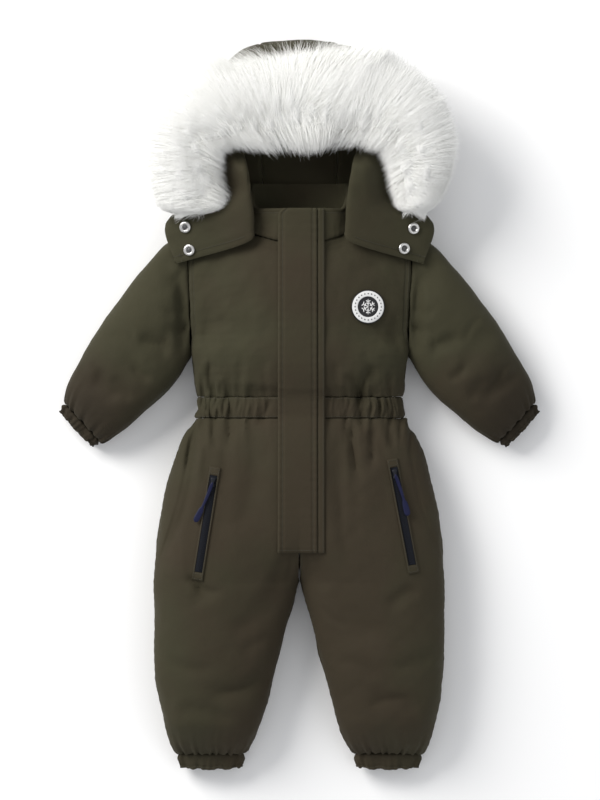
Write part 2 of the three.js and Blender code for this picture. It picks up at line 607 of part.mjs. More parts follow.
// A gathered cuff: a short tube from a limb's end, `out` pointing away along the limb
function cuffGeometry(sign, middle, across, out, size) {
  const rows = [
    { v: 0, half: size.seamHalf, top: size.seamTop },
    { v: CUFF_WAIST, half: size.waistHalf, top: (size.seamTop + size.hemTop) / 2 },
    { v: 1, half: size.hemHalf, top: size.hemTop },
  ];
  const place = (v, offset, level) => {
    const x = middle[0] + across[0] * offset + out[0] * size.depth * v;
    const y = middle[1] + across[1] * offset + out[1] * size.depth * v;
    return new THREE.Vector3(sign * x, y, level);
  };
  const surface = (v, angle) => {
    const half = readRows(rows, "v", "half", v);
    const top = readRows(rows, "v", "top", v);
    const sine = Math.sin(angle);
    const level = (top / 2) * (1 + Math.sign(sine) * Math.abs(sine) ** SIDE_ROUNDNESS);
    return place(v, half * Math.cos(angle), level);
  };
  const core = (point, v, angle) => {
    const half = readRows(rows, "v", "half", v) - readRows(rows, "v", "top", v) / 2;
    return place(v, half * Math.cos(angle), readRows(rows, "v", "top", v) / 2);
  };
  const raise = (v, angle) => -CUFF_WAVE_DEPTH * (0.5 - 0.5 * Math.cos(CUFF_WAVES * angle));
  const angles = spread(0, 2 * Math.PI, CUFF_WAVES * 2).slice(0, -1);
  return wallTowards(surface, core, [0, CUFF_WAIST, 1], angles, { wall: CUFF_WALL, raise, closed: true });
}

function addCuffs() {
  const wrist = SLEEVE_ROWS[SLEEVE_ROWS.length - 1];
  const across = new THREE.Vector2(wrist.upperX - wrist.underX, wrist.upperY - wrist.underY).normalize();
  const wristOut = [across.y, -across.x];
  const wristMiddle = [
    (wrist.upperX + wrist.underX) / 2 + wristOut[0] * SEAM_GAP,
    (wrist.upperY + wrist.underY) / 2 + wristOut[1] * SEAM_GAP,
  ];
  const ankleX = (body("outer", ANKLE_SEAM_Y) + body("inner", ANKLE_SEAM_Y)) / 2;
  const ankleMiddle = [ankleX, ANKLE_SEAM_Y - HALF_GAP];
  for (const { name, sign } of SIDES) {
    const wristCuff = cuffGeometry(sign, wristMiddle, across.toArray(), wristOut, WRIST_CUFF);
    const ankleCuff = cuffGeometry(sign, ankleMiddle, [1, 0], [0, -1], ANKLE_CUFF);
    addPiece(`wrist_cuff_${name}`, wristCuff, cuffCloth);
    addPiece(`ankle_cuff_${name}`, ankleCuff, cuffCloth);
  }
}

// The collar's ring. Angle 0 is the middle of the front and a half turn is the middle of the back.
function collarPoint(angle, v) {
  const half = mix(COLLAR.baseHalf, COLLAR.topHalf, v);
  const low = mix(COLLAR.baseLow, COLLAR.topLow, v);
  const high = mix(COLLAR.baseHigh, COLLAR.topHigh, v);
  const bend = (value) => Math.sign(value) * Math.abs(value) ** COLLAR_SQUARENESS;
  const x = half * bend(Math.sin(angle));
  const z = (low + high) / 2 + ((high - low) / 2) * bend(Math.cos(angle));
  const turned = Math.abs(angle);
  const front = neckFrontY(Math.abs(x)) + SEAM_GAP;
  const base = front + smooth(Math.PI / 2, Math.PI, turned) * COLLAR_BACK_SHIFT;
  const top = COLLAR_FRONT_TOP_Y + COLLAR_RISE * smooth(COLLAR_RISE_START, COLLAR_RISE_END, turned);
  return new THREE.Vector3(x, mix(base, top, v), z);
}

function addCollar() {
  const opening = Math.asin((COLLAR_OPENING_HALF / COLLAR.topHalf) ** (1 / COLLAR_SQUARENESS));
  const angles = spread(opening, 2 * Math.PI - opening, 28);
  const wrapped = (angle) => (angle > Math.PI ? angle - 2 * Math.PI : angle);
  const surface = (angle, v) => collarPoint(wrapped(angle), v);
  const core = (point, angle, v) => {
    const level = (collarPoint(0, v).z + collarPoint(Math.PI, v).z) / 2;
    const reach = COLLAR.topHalf - COLLAR_CORE_INSET;
    return new THREE.Vector3(clamp(point.x, -reach, reach), point.y, level);
  };
  addPiece("collar", wallTowards(surface, core, angles, spread(0, 1, 2), { wall: COLLAR_WALL }), cloth);
}

// The front's height where the placket runs: over the collar, bodice, casing and trousers
function placketBed(x, y) {
  const collarBase = neckFrontY(Math.abs(x)) + SEAM_GAP;
  if (y <= collarBase) return frontHeight(x, y);
  const share = clamp((y - collarBase) / (COLLAR_FRONT_TOP_Y - collarBase), 0, 1);
  const half = mix(COLLAR.baseHalf, COLLAR.topHalf, share);
  const sine = clamp(Math.abs(x) / half, 0, 1) ** (1 / COLLAR_SQUARENESS);
  return collarPoint(Math.asin(sine), share).z;
}

function addPlacket() {
  const levels = spread(PLACKET.bottom, PLACKET.top, 26);
  const mainRows = levels.map((y) => {
    const cut = Math.max(0, PLACKET.corner - (PLACKET.top - y));
    return [[PLACKET.right + cut, y], [PLACKET.left, y]];
  });
  const bandRows = levels.map((y) => [[PLACKET_BAND.right, y], [PLACKET_BAND.left, y]]);
  const bed = (x, y) => highestNear(placketBed, x, y);
  addPiece("placket", slabOn(bed, mainRows, 4, PLACKET_LIFT, PLACKET_WALL), cloth);
  addPiece("placket_band", slabOn(bed, bandRows, 1, PLACKET_LIFT, PLACKET_WALL - 1), cloth);
}

// A smooth curve through four values, between the middle two
function throughFour(before, from, to, after, t) {
  const bend = 2 * before - 5 * from + 4 * to - after;
  const twist = 3 * (from - to) + after - before;
  return from + (t * (to - before + t * (bend + t * twist))) / 2;
}

// A point of the hood's middle surface: u counts rows up from the neck, v counts columns from the
// middle of the back to the rim, and a negative v is the wearer's right
function hoodNet(u, v) {
  const lastRow = HOOD_ROWS.length - 1;
  const lastColumn = HOOD_COLUMNS.length - 1;
  const control = (row, column) => {
    if (row < 0) return extend(control(0, column), control(1, column));
    if (row > lastRow) return extend(control(lastRow, column), control(lastRow - 1, column));
    if (column > lastColumn) return extend(control(row, lastColumn), control(row, lastColumn - 1));
    const [x, y, z] = HOOD_ROWS[row][HOOD_COLUMNS[Math.abs(column)]];
    return [column < 0 ? -x : x, y, z];
  };
  const extend = (end, before) => end.map((value, axis) => 2 * value - before[axis]);
  const row = clamp(Math.floor(u), 0, lastRow - 1);
  const side = Math.abs(v);
  const column = clamp(Math.floor(side), 0, lastColumn - 1);
  const blend = (at, count, share) => {
    const values = [-1, 0, 1, 2].map((step) => at(count + step));
    return values[0].map((_, axis) => throughFour(...values.map((value) => value[axis]), share));
  };
  const acrossRow = (atRow) => blend((atColumn) => control(atRow, atColumn), column, side - column);
  const [x, y, z] = blend(acrossRow, row, u - row);
  return new THREE.Vector3(v < 0 ? -x : x, y, z);
}

// The back lies on the surface, and the flaps on the bodice and the sleeves
function hoodPoint(u, v) {
  const point = hoodNet(u, v);
  point.z = Math.max(point.z, HOOD_WALL / 2);
  if (Math.abs(v) < 3.5 || u > 2.5) return point;
  const rest = restingHeight(point.x, point.y) + HOOD_WALL / 2 + FLAP_CLEARANCE;
  const low = rest - point.z;
  point.z += low > -FLAP_SOFTNESS ? (low + FLAP_SOFTNESS) ** 2 / (4 * FLAP_SOFTNESS) : 0;
  if (low > FLAP_SOFTNESS) point.z = rest;
  return point;
}

const HOOD_ROW_STEPS = [0, 0.4, 0.8, 1.2, 1.6, 2, 2.5, 3, 3.5, 4, 4.5, 5, 5.6, 6.2, 6.8, 7.4, 8, 9];
const HOOD_SIDE_STEPS = [0.5, 1, 1.5, 2, 2.4, 2.7, 2.9, 3.1, 3.4, 3.7, 4];

// The hood's strip and sides end where they run into the fur
function addHood(wasm) {
  const room = toSolid(wasm, furGeometry(FUR_CLEARANCE));
  const addPanel = (name, columns) => {
    const panel = toSolid(wasm, wallAround(hoodPoint, HOOD_ROW_STEPS, columns, HOOD_WALL));
    addPiece(name, largestShell(toGeometry(panel.subtract(room))), cloth);
  };
  addPanel("hood_centre", [-1, -0.5, 0, 0.5, 1].map((v) => v * (1 - HOOD_SEAM_SHARE)));
  for (const { name, sign } of SIDES) {
    const columns = [1 + HOOD_SEAM_SHARE, ...HOOD_SIDE_STEPS.map((v) => v + 1)];
    addPanel(`hood_side_${name}`, columns.map((v) => sign * v));
  }
}

// A manifold solid from a closed geometry, and back again
function toSolid(wasm, geometry) {
  const bare = geometry.clone();
  bare.deleteAttribute("normal");
  bare.deleteAttribute("uv");
  const merged = mergeVertices(bare);
  const vertProperties = new Float32Array(merged.attributes.position.array);
  const triVerts = new Uint32Array(merged.index.array);
  return new wasm.Manifold(new wasm.Mesh({ numProp: 3, vertProperties, triVerts }));
}

function toGeometry(solid) {
  const mesh = solid.getMesh();
  const geometry = new THREE.BufferGeometry();
  geometry.setAttribute("position", new THREE.BufferAttribute(new Float32Array(mesh.vertProperties), 3));
  geometry.setIndex(new THREE.BufferAttribute(new Uint32Array(mesh.triVerts), 1));
  return geometry;
}

// Keeps the largest shell of faces joined at their edges, without crumbs and small sealed pockets
function largestShell(geometry) {
  const index = geometry.index.array;
  const owner = Array.from({ length: index.length / 3 }, (_, face) => face);
  const find = (face) => {
    while (owner[face] !== face) face = owner[face] = owner[owner[face]];
    return face;
  };
  const faceAtEdge = new Map();
  for (let face = 0; face < owner.length; face += 1) {
    for (const corner of [0, 1, 2]) {
      const [a, b] = [index[face * 3 + corner], index[face * 3 + ((corner + 1) % 3)]];
      const edge = `${Math.min(a, b)} ${Math.max(a, b)}`;
      if (faceAtEdge.has(edge)) owner[find(face)] = find(faceAtEdge.get(edge));
      faceAtEdge.set(edge, face);
    }
  }
  const shells = new Map();
  for (let face = 0; face < owner.length; face += 1) {
    const shell = find(face);
    if (!shells.has(shell)) shells.set(shell, []);
    shells.get(shell).push(index[face * 3], index[face * 3 + 1], index[face * 3 + 2]);
  }
  const largest = [...shells.values()].sort((one, other) => other.length - one.length)[0];
  const kept = new THREE.BufferGeometry();
  kept.setAttribute("position", geometry.attributes.position);
  kept.setIndex(largest);
  return kept;
}

// The fur before the hood's edge is cut out of it: an oval section carried around the rim
function furGeometry(room) {
  const rows = [];
  const last = FUR_ROWS.length - 1;
  const at = (row) => FUR_ROWS[clamp(row, 0, last)];
  const flat = (row) => [...at(row).outer, ...at(row).inner, at(row).low, at(row).high];
  for (let k = 0; k <= last * FUR_STEPS_PER_ROW; k += 1) {
    const row = Math.min(last - 1, Math.floor(k / FUR_STEPS_PER_ROW));
    const share = k / FUR_STEPS_PER_ROW - row;
    const [a, b, c, d] = [flat(row - 1), flat(row), flat(row + 1), flat(row + 2)];
    rows.push(b.map((_, i) => throughFour(a[i], b[i], c[i], d[i], share)));
  }
  const points = [];
  rows.forEach(([outerX, outerY, innerX, innerY, low, high], k) => {
    for (let j = 0; j < FUR_SIDES; j += 1) {
      const angle = (2 * Math.PI * j) / FUR_SIDES;
      const lobe = 1 - FUR_LOBE_DEPTH * (0.5 + 0.5 * Math.cos(k * 2.4 + j));
      const wide = Math.hypot(outerX - innerX, outerY - innerY);
      const across = 0.5 + Math.cos(angle) * (0.5 * lobe + room / wide);
      const rise = 0.5 + Math.sin(angle) * (0.5 * lobe + room / (high - low));
      const [x, y, z] = [mix(innerX, outerX, across), mix(innerY, outerY, across), mix(low, high, rise)];
      points.push(new THREE.Vector3(x, y, z));
    }
  });
  const triangles = [];
  for (let k = 0; k < rows.length - 1; k += 1) {
    for (let j = 0; j < FUR_SIDES; j += 1) {
      const [a, b] = [k * FUR_SIDES + j, k * FUR_SIDES + ((j + 1) % FUR_SIDES)];
      triangles.push(a, b, b + FUR_SIDES, a, b + FUR_SIDES, a + FUR_SIDES);
    }
  }
  const end = (rows.length - 1) * FUR_SIDES;
  for (let j = 1; j < FUR_SIDES - 1; j += 1) {
    triangles.push(0, j + 1, j);
    triangles.push(end, end + j, end + j + 1);
  }
  return outwardGeometry(points, triangles);
}

// A snap's ring and post, turned about its axis
function snapGeometry() {
  const profile = [
    [0, 0], [SNAP_RADIUS, 0], [SNAP_RADIUS - 0.4, 1.9], [SNAP_RADIUS - 2.2, 2.3],
    [SNAP_RADIUS - 3.8, 1.3], [0, 1.3],
  ];
  return new THREE.LatheGeometry(profile.map(([x, y]) => new THREE.Vector2(x, y)), SNAP_SIDES);
}

// Finds where the hood's flap passes over a place in plan
function flapSpot(x, y) {
  const sign = x < 0 ? -1 : 1;
  let best = { gap: Infinity };
  for (let u = 0; u <= 2; u += 0.04) {
    for (let v = 4; v <= 5; v += 0.02) {
      const point = hoodPoint(u, sign * v);
      const gap = Math.hypot(point.x - x, point.y - y);
      if (gap < best.gap) best = { gap, u, v: sign * v, point };
    }
  }
  return best;
}

function addSnaps() {
  const step = 0.08;
  for (const { name, x, y } of SNAP_SPOTS) {
    const { u, v, point } = flapSpot(x, y);
    const alongU = hoodPoint(u + step, v).sub(hoodPoint(u - step, v));
    const alongV = hoodPoint(u, v + step).sub(hoodPoint(u, v - step));
    const normal = alongU.cross(alongV).normalize();
    if (normal.z < 0) normal.negate();
    const snap = addPiece(name, snapGeometry(), snapMetal);
    snap.quaternion.setFromUnitVectors(new THREE.Vector3(0, 1, 0), normal);
    snap.position.copy(point).addScaledVector(normal, HOOD_WALL / 2 + SNAP_LIFT);
  }
}

// The round patch on the chest: a dark disc with a pale ring on it, both shaped to the chest
function addPatch() {
  const sides = 28;
  const circle = (radius) => spread(0, 2 * Math.PI, sides).slice(0, -1).map((angle) => [
    PATCH.x + radius * Math.cos(angle), PATCH.y + radius * Math.sin(angle),
  ]);
  const ringRows = (inner, outer) => circle(inner).map((point, i) => [point, circle(outer)[i]]);
  const discRows = spread(-1, 1, 10).map((share) => {
    const y = PATCH.y + PATCH.radius * Math.sin((share * Math.PI) / 2);
    const half = Math.max(2, PATCH.radius * Math.cos((share * Math.PI) / 2));
    return [[PATCH.x - half, y], [PATCH.x + half, y]];
  });
  addPiece("chest_patch", slabOn(frontBed, discRows, 4, PATCH_LIFT, PATCH.thickness), patchDark);
  const lift = PATCH_LIFT + PATCH.thickness + SEAM_GAP;
  const rows = ringRows(PATCH_RING.inner, PATCH_RING.outer);
  const ring = slabOn(frontBed, rows, 1, lift, PATCH_RING.raise, true);
  addPiece("chest_patch_ring", ring, patchPale);
}

// Zipped pockets: a welt frame around the zip, the zip with its slider, and the pull's cord
function addPockets() {
  for (const pocket of POCKETS) {
    const top = new THREE.Vector2(pocket.topX, pocket.topY);
    const bottom = new THREE.Vector2(pocket.bottomX, pocket.bottomY);
    const along = bottom.clone().sub(top).normalize();
    const across = new THREE.Vector2(-along.y, along.x);
    const length = top.distanceTo(bottom);
    const place = (down, side) => {
      return top.clone().addScaledVector(along, down).addScaledVector(across, side).toArray();
    };
    const outline = (end, half) => {
      const steps = spread(-end, length + end, 12);
      const back = [...steps].reverse();
      return [...steps.map((down) => place(down, -half)), ...back.map((down) => place(down, half))];
    };
    const opening = outline(0, ZIP_HALF + SEAM_GAP);
    const frame = outline(WELT_END, WELT_HALF);
    const weltRows = opening.map((point, i) => [point, frame[i]]);
    const welt = slabOn(frontBed, weltRows, 1, WELT_LIFT, WELT_WALL, true);
    addPiece(`pocket_welt_${pocket.side}`, welt, cloth);
    const strip = (steps, half) => steps.map((down) => [place(down, -half), place(down, half)]);
    const zipRows = strip(spread(SEAM_GAP, length - SEAM_GAP, 12), ZIP_HALF);
    addPiece(`pocket_zip_${pocket.side}`, slabOn(frontBed, zipRows, 1, WELT_LIFT, ZIP_WALL), zipTape);
    const sliderEnd = ZIP_SLIDER.start + ZIP_SLIDER.length;
    const sliderRows = strip(spread(ZIP_SLIDER.start, sliderEnd, 2), ZIP_SLIDER.half);
    const sliderLift = WELT_LIFT + ZIP_WALL + SEAM_GAP;
    const slider = slabOn(frontBed, sliderRows, 1, sliderLift, ZIP_SLIDER.wall);
    addPiece(`zip_slider_${pocket.side}`, slider, zipTape);
    const pullStart = place(ZIP_SLIDER.start + ZIP_SLIDER.length / 2, 0);
    addPull(pocket, pullStart, sliderLift + ZIP_SLIDER.wall + SEAM_GAP);
  }
}

function addPull(pocket, from, lift) {
  const start = new THREE.Vector2(...from);
  const end = new THREE.Vector2(pocket.pullX, pocket.pullY);
  const along = end.clone().sub(start).normalize();
  const across = new THREE.Vector2(-along.y, along.x);
  const length = start.distanceTo(end);
  const rows = PULL_ROWS.map(({ share, half }) => {
    const middle = start.clone().addScaledVector(along, share * length);
    return [-half, half].map((side) => middle.clone().addScaledVector(across, side).toArray());
  });
  addPiece(`zip_pull_${pocket.side}`, slabOn(frontBed, rows, 2, lift, PULL_WALL), pullNavy);
}

const wasm = await Module();
wasm.setup();
addBodice();
addCasing();
addTrousers();
addSleeves();
addCuffs();
addCollar();
addPlacket();
addHood(wasm);
addPiece("fur_trim", furGeometry(0), furHair);
addSnaps();
addPatch();
addPockets();

export default group;
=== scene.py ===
"""A toddler's padded snowsuit with a fur-trimmed hood, lying on its back.

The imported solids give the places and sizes, and this script dresses them with finer
cloth, gathers, stitches, trimmings and fur. Lengths here are in millimetres, and the
meshes are made in metres. +X points to the wearer's left, +Y from the ankles to the
hood, and +Z up from the surface that the suit lies on.
"""

from __future__ import annotations

import json
import logging
import math
from collections.abc import Callable, Sequence
from dataclasses import dataclass, field
from enum import Enum
from functools import partial

import bpy
import numpy as np
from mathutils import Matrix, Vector

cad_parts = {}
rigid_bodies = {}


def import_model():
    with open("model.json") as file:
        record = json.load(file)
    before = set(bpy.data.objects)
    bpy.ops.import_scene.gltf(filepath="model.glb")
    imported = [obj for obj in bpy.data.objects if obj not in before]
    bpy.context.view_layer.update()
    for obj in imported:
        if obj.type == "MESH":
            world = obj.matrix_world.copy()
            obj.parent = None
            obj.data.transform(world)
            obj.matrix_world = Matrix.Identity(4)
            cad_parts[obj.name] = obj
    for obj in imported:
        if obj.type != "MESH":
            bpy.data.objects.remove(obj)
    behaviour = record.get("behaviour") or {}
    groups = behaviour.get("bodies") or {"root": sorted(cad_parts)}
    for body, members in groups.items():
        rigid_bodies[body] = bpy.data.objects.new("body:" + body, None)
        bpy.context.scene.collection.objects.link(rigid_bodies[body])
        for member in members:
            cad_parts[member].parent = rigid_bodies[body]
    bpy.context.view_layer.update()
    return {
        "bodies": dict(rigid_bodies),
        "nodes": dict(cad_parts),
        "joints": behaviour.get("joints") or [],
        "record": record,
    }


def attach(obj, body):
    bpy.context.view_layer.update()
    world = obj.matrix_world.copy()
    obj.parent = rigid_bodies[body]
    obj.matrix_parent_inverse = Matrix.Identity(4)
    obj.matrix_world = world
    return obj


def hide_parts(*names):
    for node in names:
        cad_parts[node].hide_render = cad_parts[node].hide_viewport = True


Array = np.ndarray
Colour = tuple[float, float, float]
Shape = tuple[Array, Array]
Surface = Callable[[Array, Array], Array]
Piece = bpy.types.Object
Material = bpy.types.Material
LOG = logging.getLogger("snowsuit")
MM = 0.001
ROOT = "root"
UP = np.array([0.0, 0.0, 1.0])
HALVES = (("right", -1.0), ("left", 1.0))

# Levels along the suit, from the ankle seams up to the neck
ANKLE_SEAM_Y = -455.0
CROTCH_Y = -217.0
CROTCH_CURVE_START_Y = -60.0
CROTCH_CURVE_POWER = 2.5
CASING_BOTTOM_Y = -16.5
CASING_TOP_Y = 11.3
ARMPIT_Y = 67.0
NECK_FRONT_Y = 211.0
NECK_BACK_Y = 240.0
NECK_SIDE_X, NECK_SIDE_Y = 82.0, 235.0
SHOULDER_END_X, SHOULDER_END_Y = 146.0, 221.0
SHOULDER_SLOPE = (NECK_SIDE_Y - SHOULDER_END_Y) / (SHOULDER_END_X - NECK_SIDE_X)
NECK_CURVE_POWER = 2.3

# Roundness of the padded tubes
SIDE_ROUNDNESS = 0.75
ARMHOLE_ROUNDNESS = 2.0
ARMHOLE_BLEND = 40.0
UNDERSIDE_CORNER = 0.55
SHOULDER_DROP = 75.0
BACK_DROP = 50.0
NAPE_HALF = 55.0
ARMHOLE_TOP_Z = 58.0
ARMHOLE_ARCH = 0.6
ARMPIT_EASE = 26.0
CROTCH_EASE = 14.0

# Walls and seams
SEAM_GAP = 0.3
HALF_GAP = SEAM_GAP / 2
FRONT_SEAM_ANGLE = 4e-4
BACK_SEAM_ANGLE = 5e-6
PANEL_WALL = 5.5
CASING_WALL = 3.6
CUFF_WALL = 2.8
COLLAR_WALL = 4.6
HOOD_WALL = 6.0
PLACKET_WALL = 3.0
PLACKET_LIFT = 0.6
LOWEST_OUTER, LOWEST_INNER = 0.02, 0.4

# The band beside the placket is cut this wide, in metres, with an edge under the cover
NARROWEST_CUT = 0.0102


@dataclass(frozen=True)
class Table:
    """A short table with named columns, read between its rows by its first column."""

    names: str
    rows: tuple[tuple[float, ...], ...]

    def column(self, name: str) -> Array:
        """The values of one column."""
        return np.array([row[self.names.split().index(name)] for row in self.rows], dtype=float)

    def read(self, name: str, at: Array) -> Array:
        """Reads a column between the rows with a cubic that never overshoots them.

        The slope at a row is the harmonic mean of the slopes on its two sides, or none
        where the column turns back there.

        Args:
            name: The column to read.
            at: Places in the first column.

        Returns:
            The column's value at each place.
        """
        knots, values = self.column(self.names.split()[0]), self.column(name)
        spans = np.diff(knots)
        slopes = np.diff(values) / spans
        lean = np.concatenate((slopes[:1], np.zeros(len(slopes) - 1), slopes[-1:]))
        same = slopes[:-1] * slopes[1:] > 0
        total = np.where(same, slopes[:-1] + slopes[1:], 1.0)
        lean[1:-1] = np.where(same, 2 * slopes[:-1] * slopes[1:] / total, 0.0)
        at = np.clip(at, knots[0], knots[-1])
        i = np.clip(np.searchsorted(knots, at, side="right") - 1, 0, len(spans) - 1)
        t = (at - knots[i]) / spans[i]
        rise = (1 + 2 * t) * (1 - t) ** 2 * values[i] + t * t * (3 - 2 * t) * values[i + 1]
        return rise + spans[i] * (t * (1 - t) ** 2 * lean[i] - t * t * (1 - t) * lean[i + 1])

    def reads(self, at: Array, names: str) -> list[Array]:
        """Several columns at the same places."""
        return [self.read(name, at) for name in names.split()]


BODY = Table(
    "y outer inner top edge",
    (
        (-470, 152, 78, 30, 14), (-455, 160, 70, 37, 17), (-440, 168, 60.5, 54, 24),
        (-409, 177, 49, 72, 31), (-346, 187, 32, 82, 36), (-284, 188.5, 16.5, 86, 38),
        (-217, 188, 0, 89, 38), (-159, 183, 0, 91, 38), (-97, 171, 0, 91, 37),
        (-50, 155, 0, 88, 35), (-30, 144.5, 0, 84, 34), (-17, 135.5, 0, 79, 33),
        (11, 133.3, 0, 79, 33), (30, 136.5, 0, 88, 33), (67, 140, 0, 94, 32),
        (130, 142.5, 0, 93, 34), (221, 146, 0, 82, 38), (250, 146, 0, 78, 40),
    ),
)
SLEEVE = Table(
    "s upper_x upper_y under_x under_y top edge under_edge",
    (
        (0, 146, 221, 140, 67, 58, 38, 32), (0.12, 172, 209, 147, 56, 67, 36, 32),
        (0.25, 202, 178, 160, 34, 71, 34, 32), (0.42, 235, 137, 182, 9, 72, 32, 31),
        (0.6, 262, 98, 206, -12, 68, 30, 29), (0.78, 285, 60, 228, -31, 60, 27, 26),
        (0.91, 301, 29, 244, -42, 49, 22, 22), (1, 308, 3, 259, -50, 36, 17, 17),
    ),
)


@dataclass(frozen=True)
class Crease:
    """A soft trough in the cloth between two places in plan; a negative depth is a ridge."""

    x0: float
    y0: float
    x1: float
    y1: float
    reach: float
    depth: float
    bow: float = 0.0


# Each row is a crease's x0, y0, x1, y1, reach, depth and bow
FRONT_CREASES = tuple(
    Crease(*row)
    for row in (
        (96, 48, 76, 14, 8, 4.3, 2), (64, 36, 82, 4, 7, 4.6, -2), (104, 30, 100, 12, 4, 2.3),
        (118, 40, 114, 12, 4, 2.6), (-116, 52, -112, 16, 7, 4.6, 2), (-100, 30, -103, 12, 4, 2.6),
        (-128, 36, -124, 12, 4, 2.9), (-60, 26, -56, 12, 5, 1.7), (-93, 22, -89, -46, 7, 4.6, -2),
        (-38, 6, -50, -22, 5, 2.6), (-112, -16, -108, -52, 5, 2.9, 1), (-121, -18, -124, -48, 4, 3.2),
        (77, 16, 82, -27, 7, 3.8), (68, -28, 74, -88, 6, 4.9, 2), (92, -30, 94, -74, 7, 3.5, -2),
        (54, -30, 52, -140, 10, 2.6, 4), (112, -24, 122, -52, 6, 2.9), (-58, -24, -74, -150, 14, 2.9, -6),
        (-131, -22, -144, -77, 8, 6.4, 3), (-119, -30, -129, -86, 5, -2.3, 3),
        (-112, -372, -38, -352, 14, 5.2, 6), (-150, -392, -96, -404, 12, 3.2, -4),
        (-142, -222, -118, -250, 8, 3.8, -3), (-132, -232, -104, -240, 6, 2.3, 3),
        (150, -236, 118, -262, 10, 3.8, 4), (44, -238, 100, -300, 16, 3.5, 6),
        (-26, -232, -80, -290, 16, 3.2, -6), (96, -380, 150, -392, 13, 4.1, -5),
        (20, -196, 34, -232, 9, 3.5), (-18, -196, -30, -230, 9, 2.9), (-127, 86, -96, 112, 9, 2.9, -3),
        (126, 84, 100, 104, 8, 2.6, 3), (-112, 196, -78, 168, 12, 2.3, 4), (108, 190, 70, 176, 12, 2, -4),
        (-140, -222, -128, -238, 3, 2.2, 1), (-128, -226, -136, -250, 3, 1.9, -1),
        (-122, -236, -134, -258, 4, 1.7), (-133, -22, -146, -84, 3, 2.6, 2),
        (-129, -30, -138, -84, 3, 2.0, 2), (-141, -32, -184, -200, 2.3, 1.3, -8),
        (143, -36, 182, -196, 2.3, 1.2, 8), (-127, 22, -128, -30, 2.6, 2.5),
        (-120, 18, -121, -24, 2.3, 2.3), (-112.5, 24, -114, -34, 2.6, 2.6),
        (-106, 16, -107, -28, 2.3, 2.1), (-93, 26, -91, -44, 3, 2.8), (76, 18, 81, -26, 2.6, 2.3, 1),
        (68, -26, 73, -80, 2.8, 2.4, 1), (92.5, -34, 93, -74, 2.6, 2.1), (119, 8, 119, -24, 2.4, 2.5),
        (104, 14, 103, -30, 2.4, 1.9), (58, 10, 60, -30, 2.4, 1.7), (90, 46, 77, 8, 2.8, 2.5, 1),
        (67.5, 35, 81, 3, 2.6, 2.3, -1), (-115.7, 60, -115, 24, 3, 2.3, 1), (56, -46, 54, -160, 4, 1.1, 2),
        (66, -60, 68, -170, 4, 1.0, -2), (78, -80, 76, -175, 5, 1.0, 2), (-139, 116, -141, 70, 3, 3.0),
        (-96, -370, -56, -356, 5, 1.7, 3), (98, -386, 140, -378, 5, 1.5, -3), (30, -262, 58, -284, 4, 1.5, 2),
        (8, -192, 15, -226, 5, 2.6), (-9, -192, -16, -228, 5, 2.4, -1), (-138, -60, -176, -190, 7, 3.0, -9),
        (58, -120, 62, -196, 9, 1.8, 3), (-104, -8, -98, -96, 6, 2.6, -4), (98, -20, 110, -66, 5, 2.4, 2),
        (-74, 64, -82, 16, 7, 2.2, -2), (86, 70, 98, 30, 7, 2.2, 3), (46, 52, 50, 14, 5, 1.8, 1),
        (-46, 40, -42, 14, 5, 1.6), (-118, 120, -128, 60, 8, 2.2, -3), (124, 116, 130, 70, 7, 2.0, 2),
        (-168, -330, -120, -342, 9, 2.4, 4), (168, -322, 126, -338, 9, 2.2, -4),
        (52, -330, 96, -346, 10, 2.4, -4), (-36, -300, -72, -318, 9, 2.0, 3),
        (34, 206, 60, 214, 4, 2), (36, 200, 58, 206, 4, 1.7, 1),
    )
)
SLEEVE_CREASES = tuple(
    Crease(*row)
    for row in (
        (167, 86, 198, 82, 3, 1.7, 2), (149, 142, 161, 137, 2.8, 1.8), (145, 108, 161, 90, 3, 2.1, 1),
        (252, 26, 270, 52, 4, 1.5, -2), (150, 176, 166, 162, 3, 1.6, 1), (232, 112, 214, 84, 5, 1.4, 3),
        (156, 160, 152, 78, 7, 6.1, 2), (206, 84, 172, 72, 9, 4.1, 4), (262, 40, 236, 12, 11, 4.1, -5),
        (150, 128, 172, 120, 6, 2.3, 2), (146, 100, 176, 92, 6, 2.6, -2), (246, 96, 216, 46, 14, 2.6, 8),
        (284, 52, 262, 22, 8, 2.3, -3), (196, 34, 214, 50, 7, 2.9, 2), (176, 190, 168, 150, 12, 2.3, 4),
        (222, 10, 240, 34, 8, 2.6, -2),
    )
)
SLEEVE_CREASE_DEPTH = 1.3


def smooth(low: float, high: float, value: Array) -> Array:
    """A smooth step from 0 at low to 1 at high."""
    share = np.clip((value - low) / (high - low), 0.0, 1.0)
    return share * share * (3.0 - 2.0 * share)


def quarter(share: Array) -> Array:
    """A quarter circle from 0 to 1, upright at its start."""
    return np.sqrt(1.0 - (1.0 - np.clip(share, 0.0, 1.0)) ** 2)


def mix(low: Array, high: Array, share: Array) -> Array:
    """The value at a share of the way from low to high."""
    return low + (high - low) * share


def crowded(count: int, power: float = 1.25) -> Array:
    """Shares from 0 to 1 that lie closer together towards 0."""
    return np.linspace(0.0, 1.0, count) ** power


def crowded_ends(count: int) -> Array:
    """Shares from 0 to 1 that lie closer together towards both ends, as half a cosine wave."""
    return (1.0 - np.cos(np.pi * np.linspace(0.0, 1.0, count))) / 2.0


def around(count: int) -> Array:
    """Even angles round a circle, without the one that closes it."""
    return 2 * math.pi * np.arange(count) / count


def unit(vectors: Array) -> Array:
    """The same vectors with a length of 1."""
    return vectors / np.maximum(np.linalg.norm(vectors, axis=-1, keepdims=True), 1e-9)


def squared(value: Array, power: float) -> Array:
    """A sine or cosine raised to a power that keeps its sign, which squares a circle's corners."""
    return np.sign(value) * np.abs(value) ** power


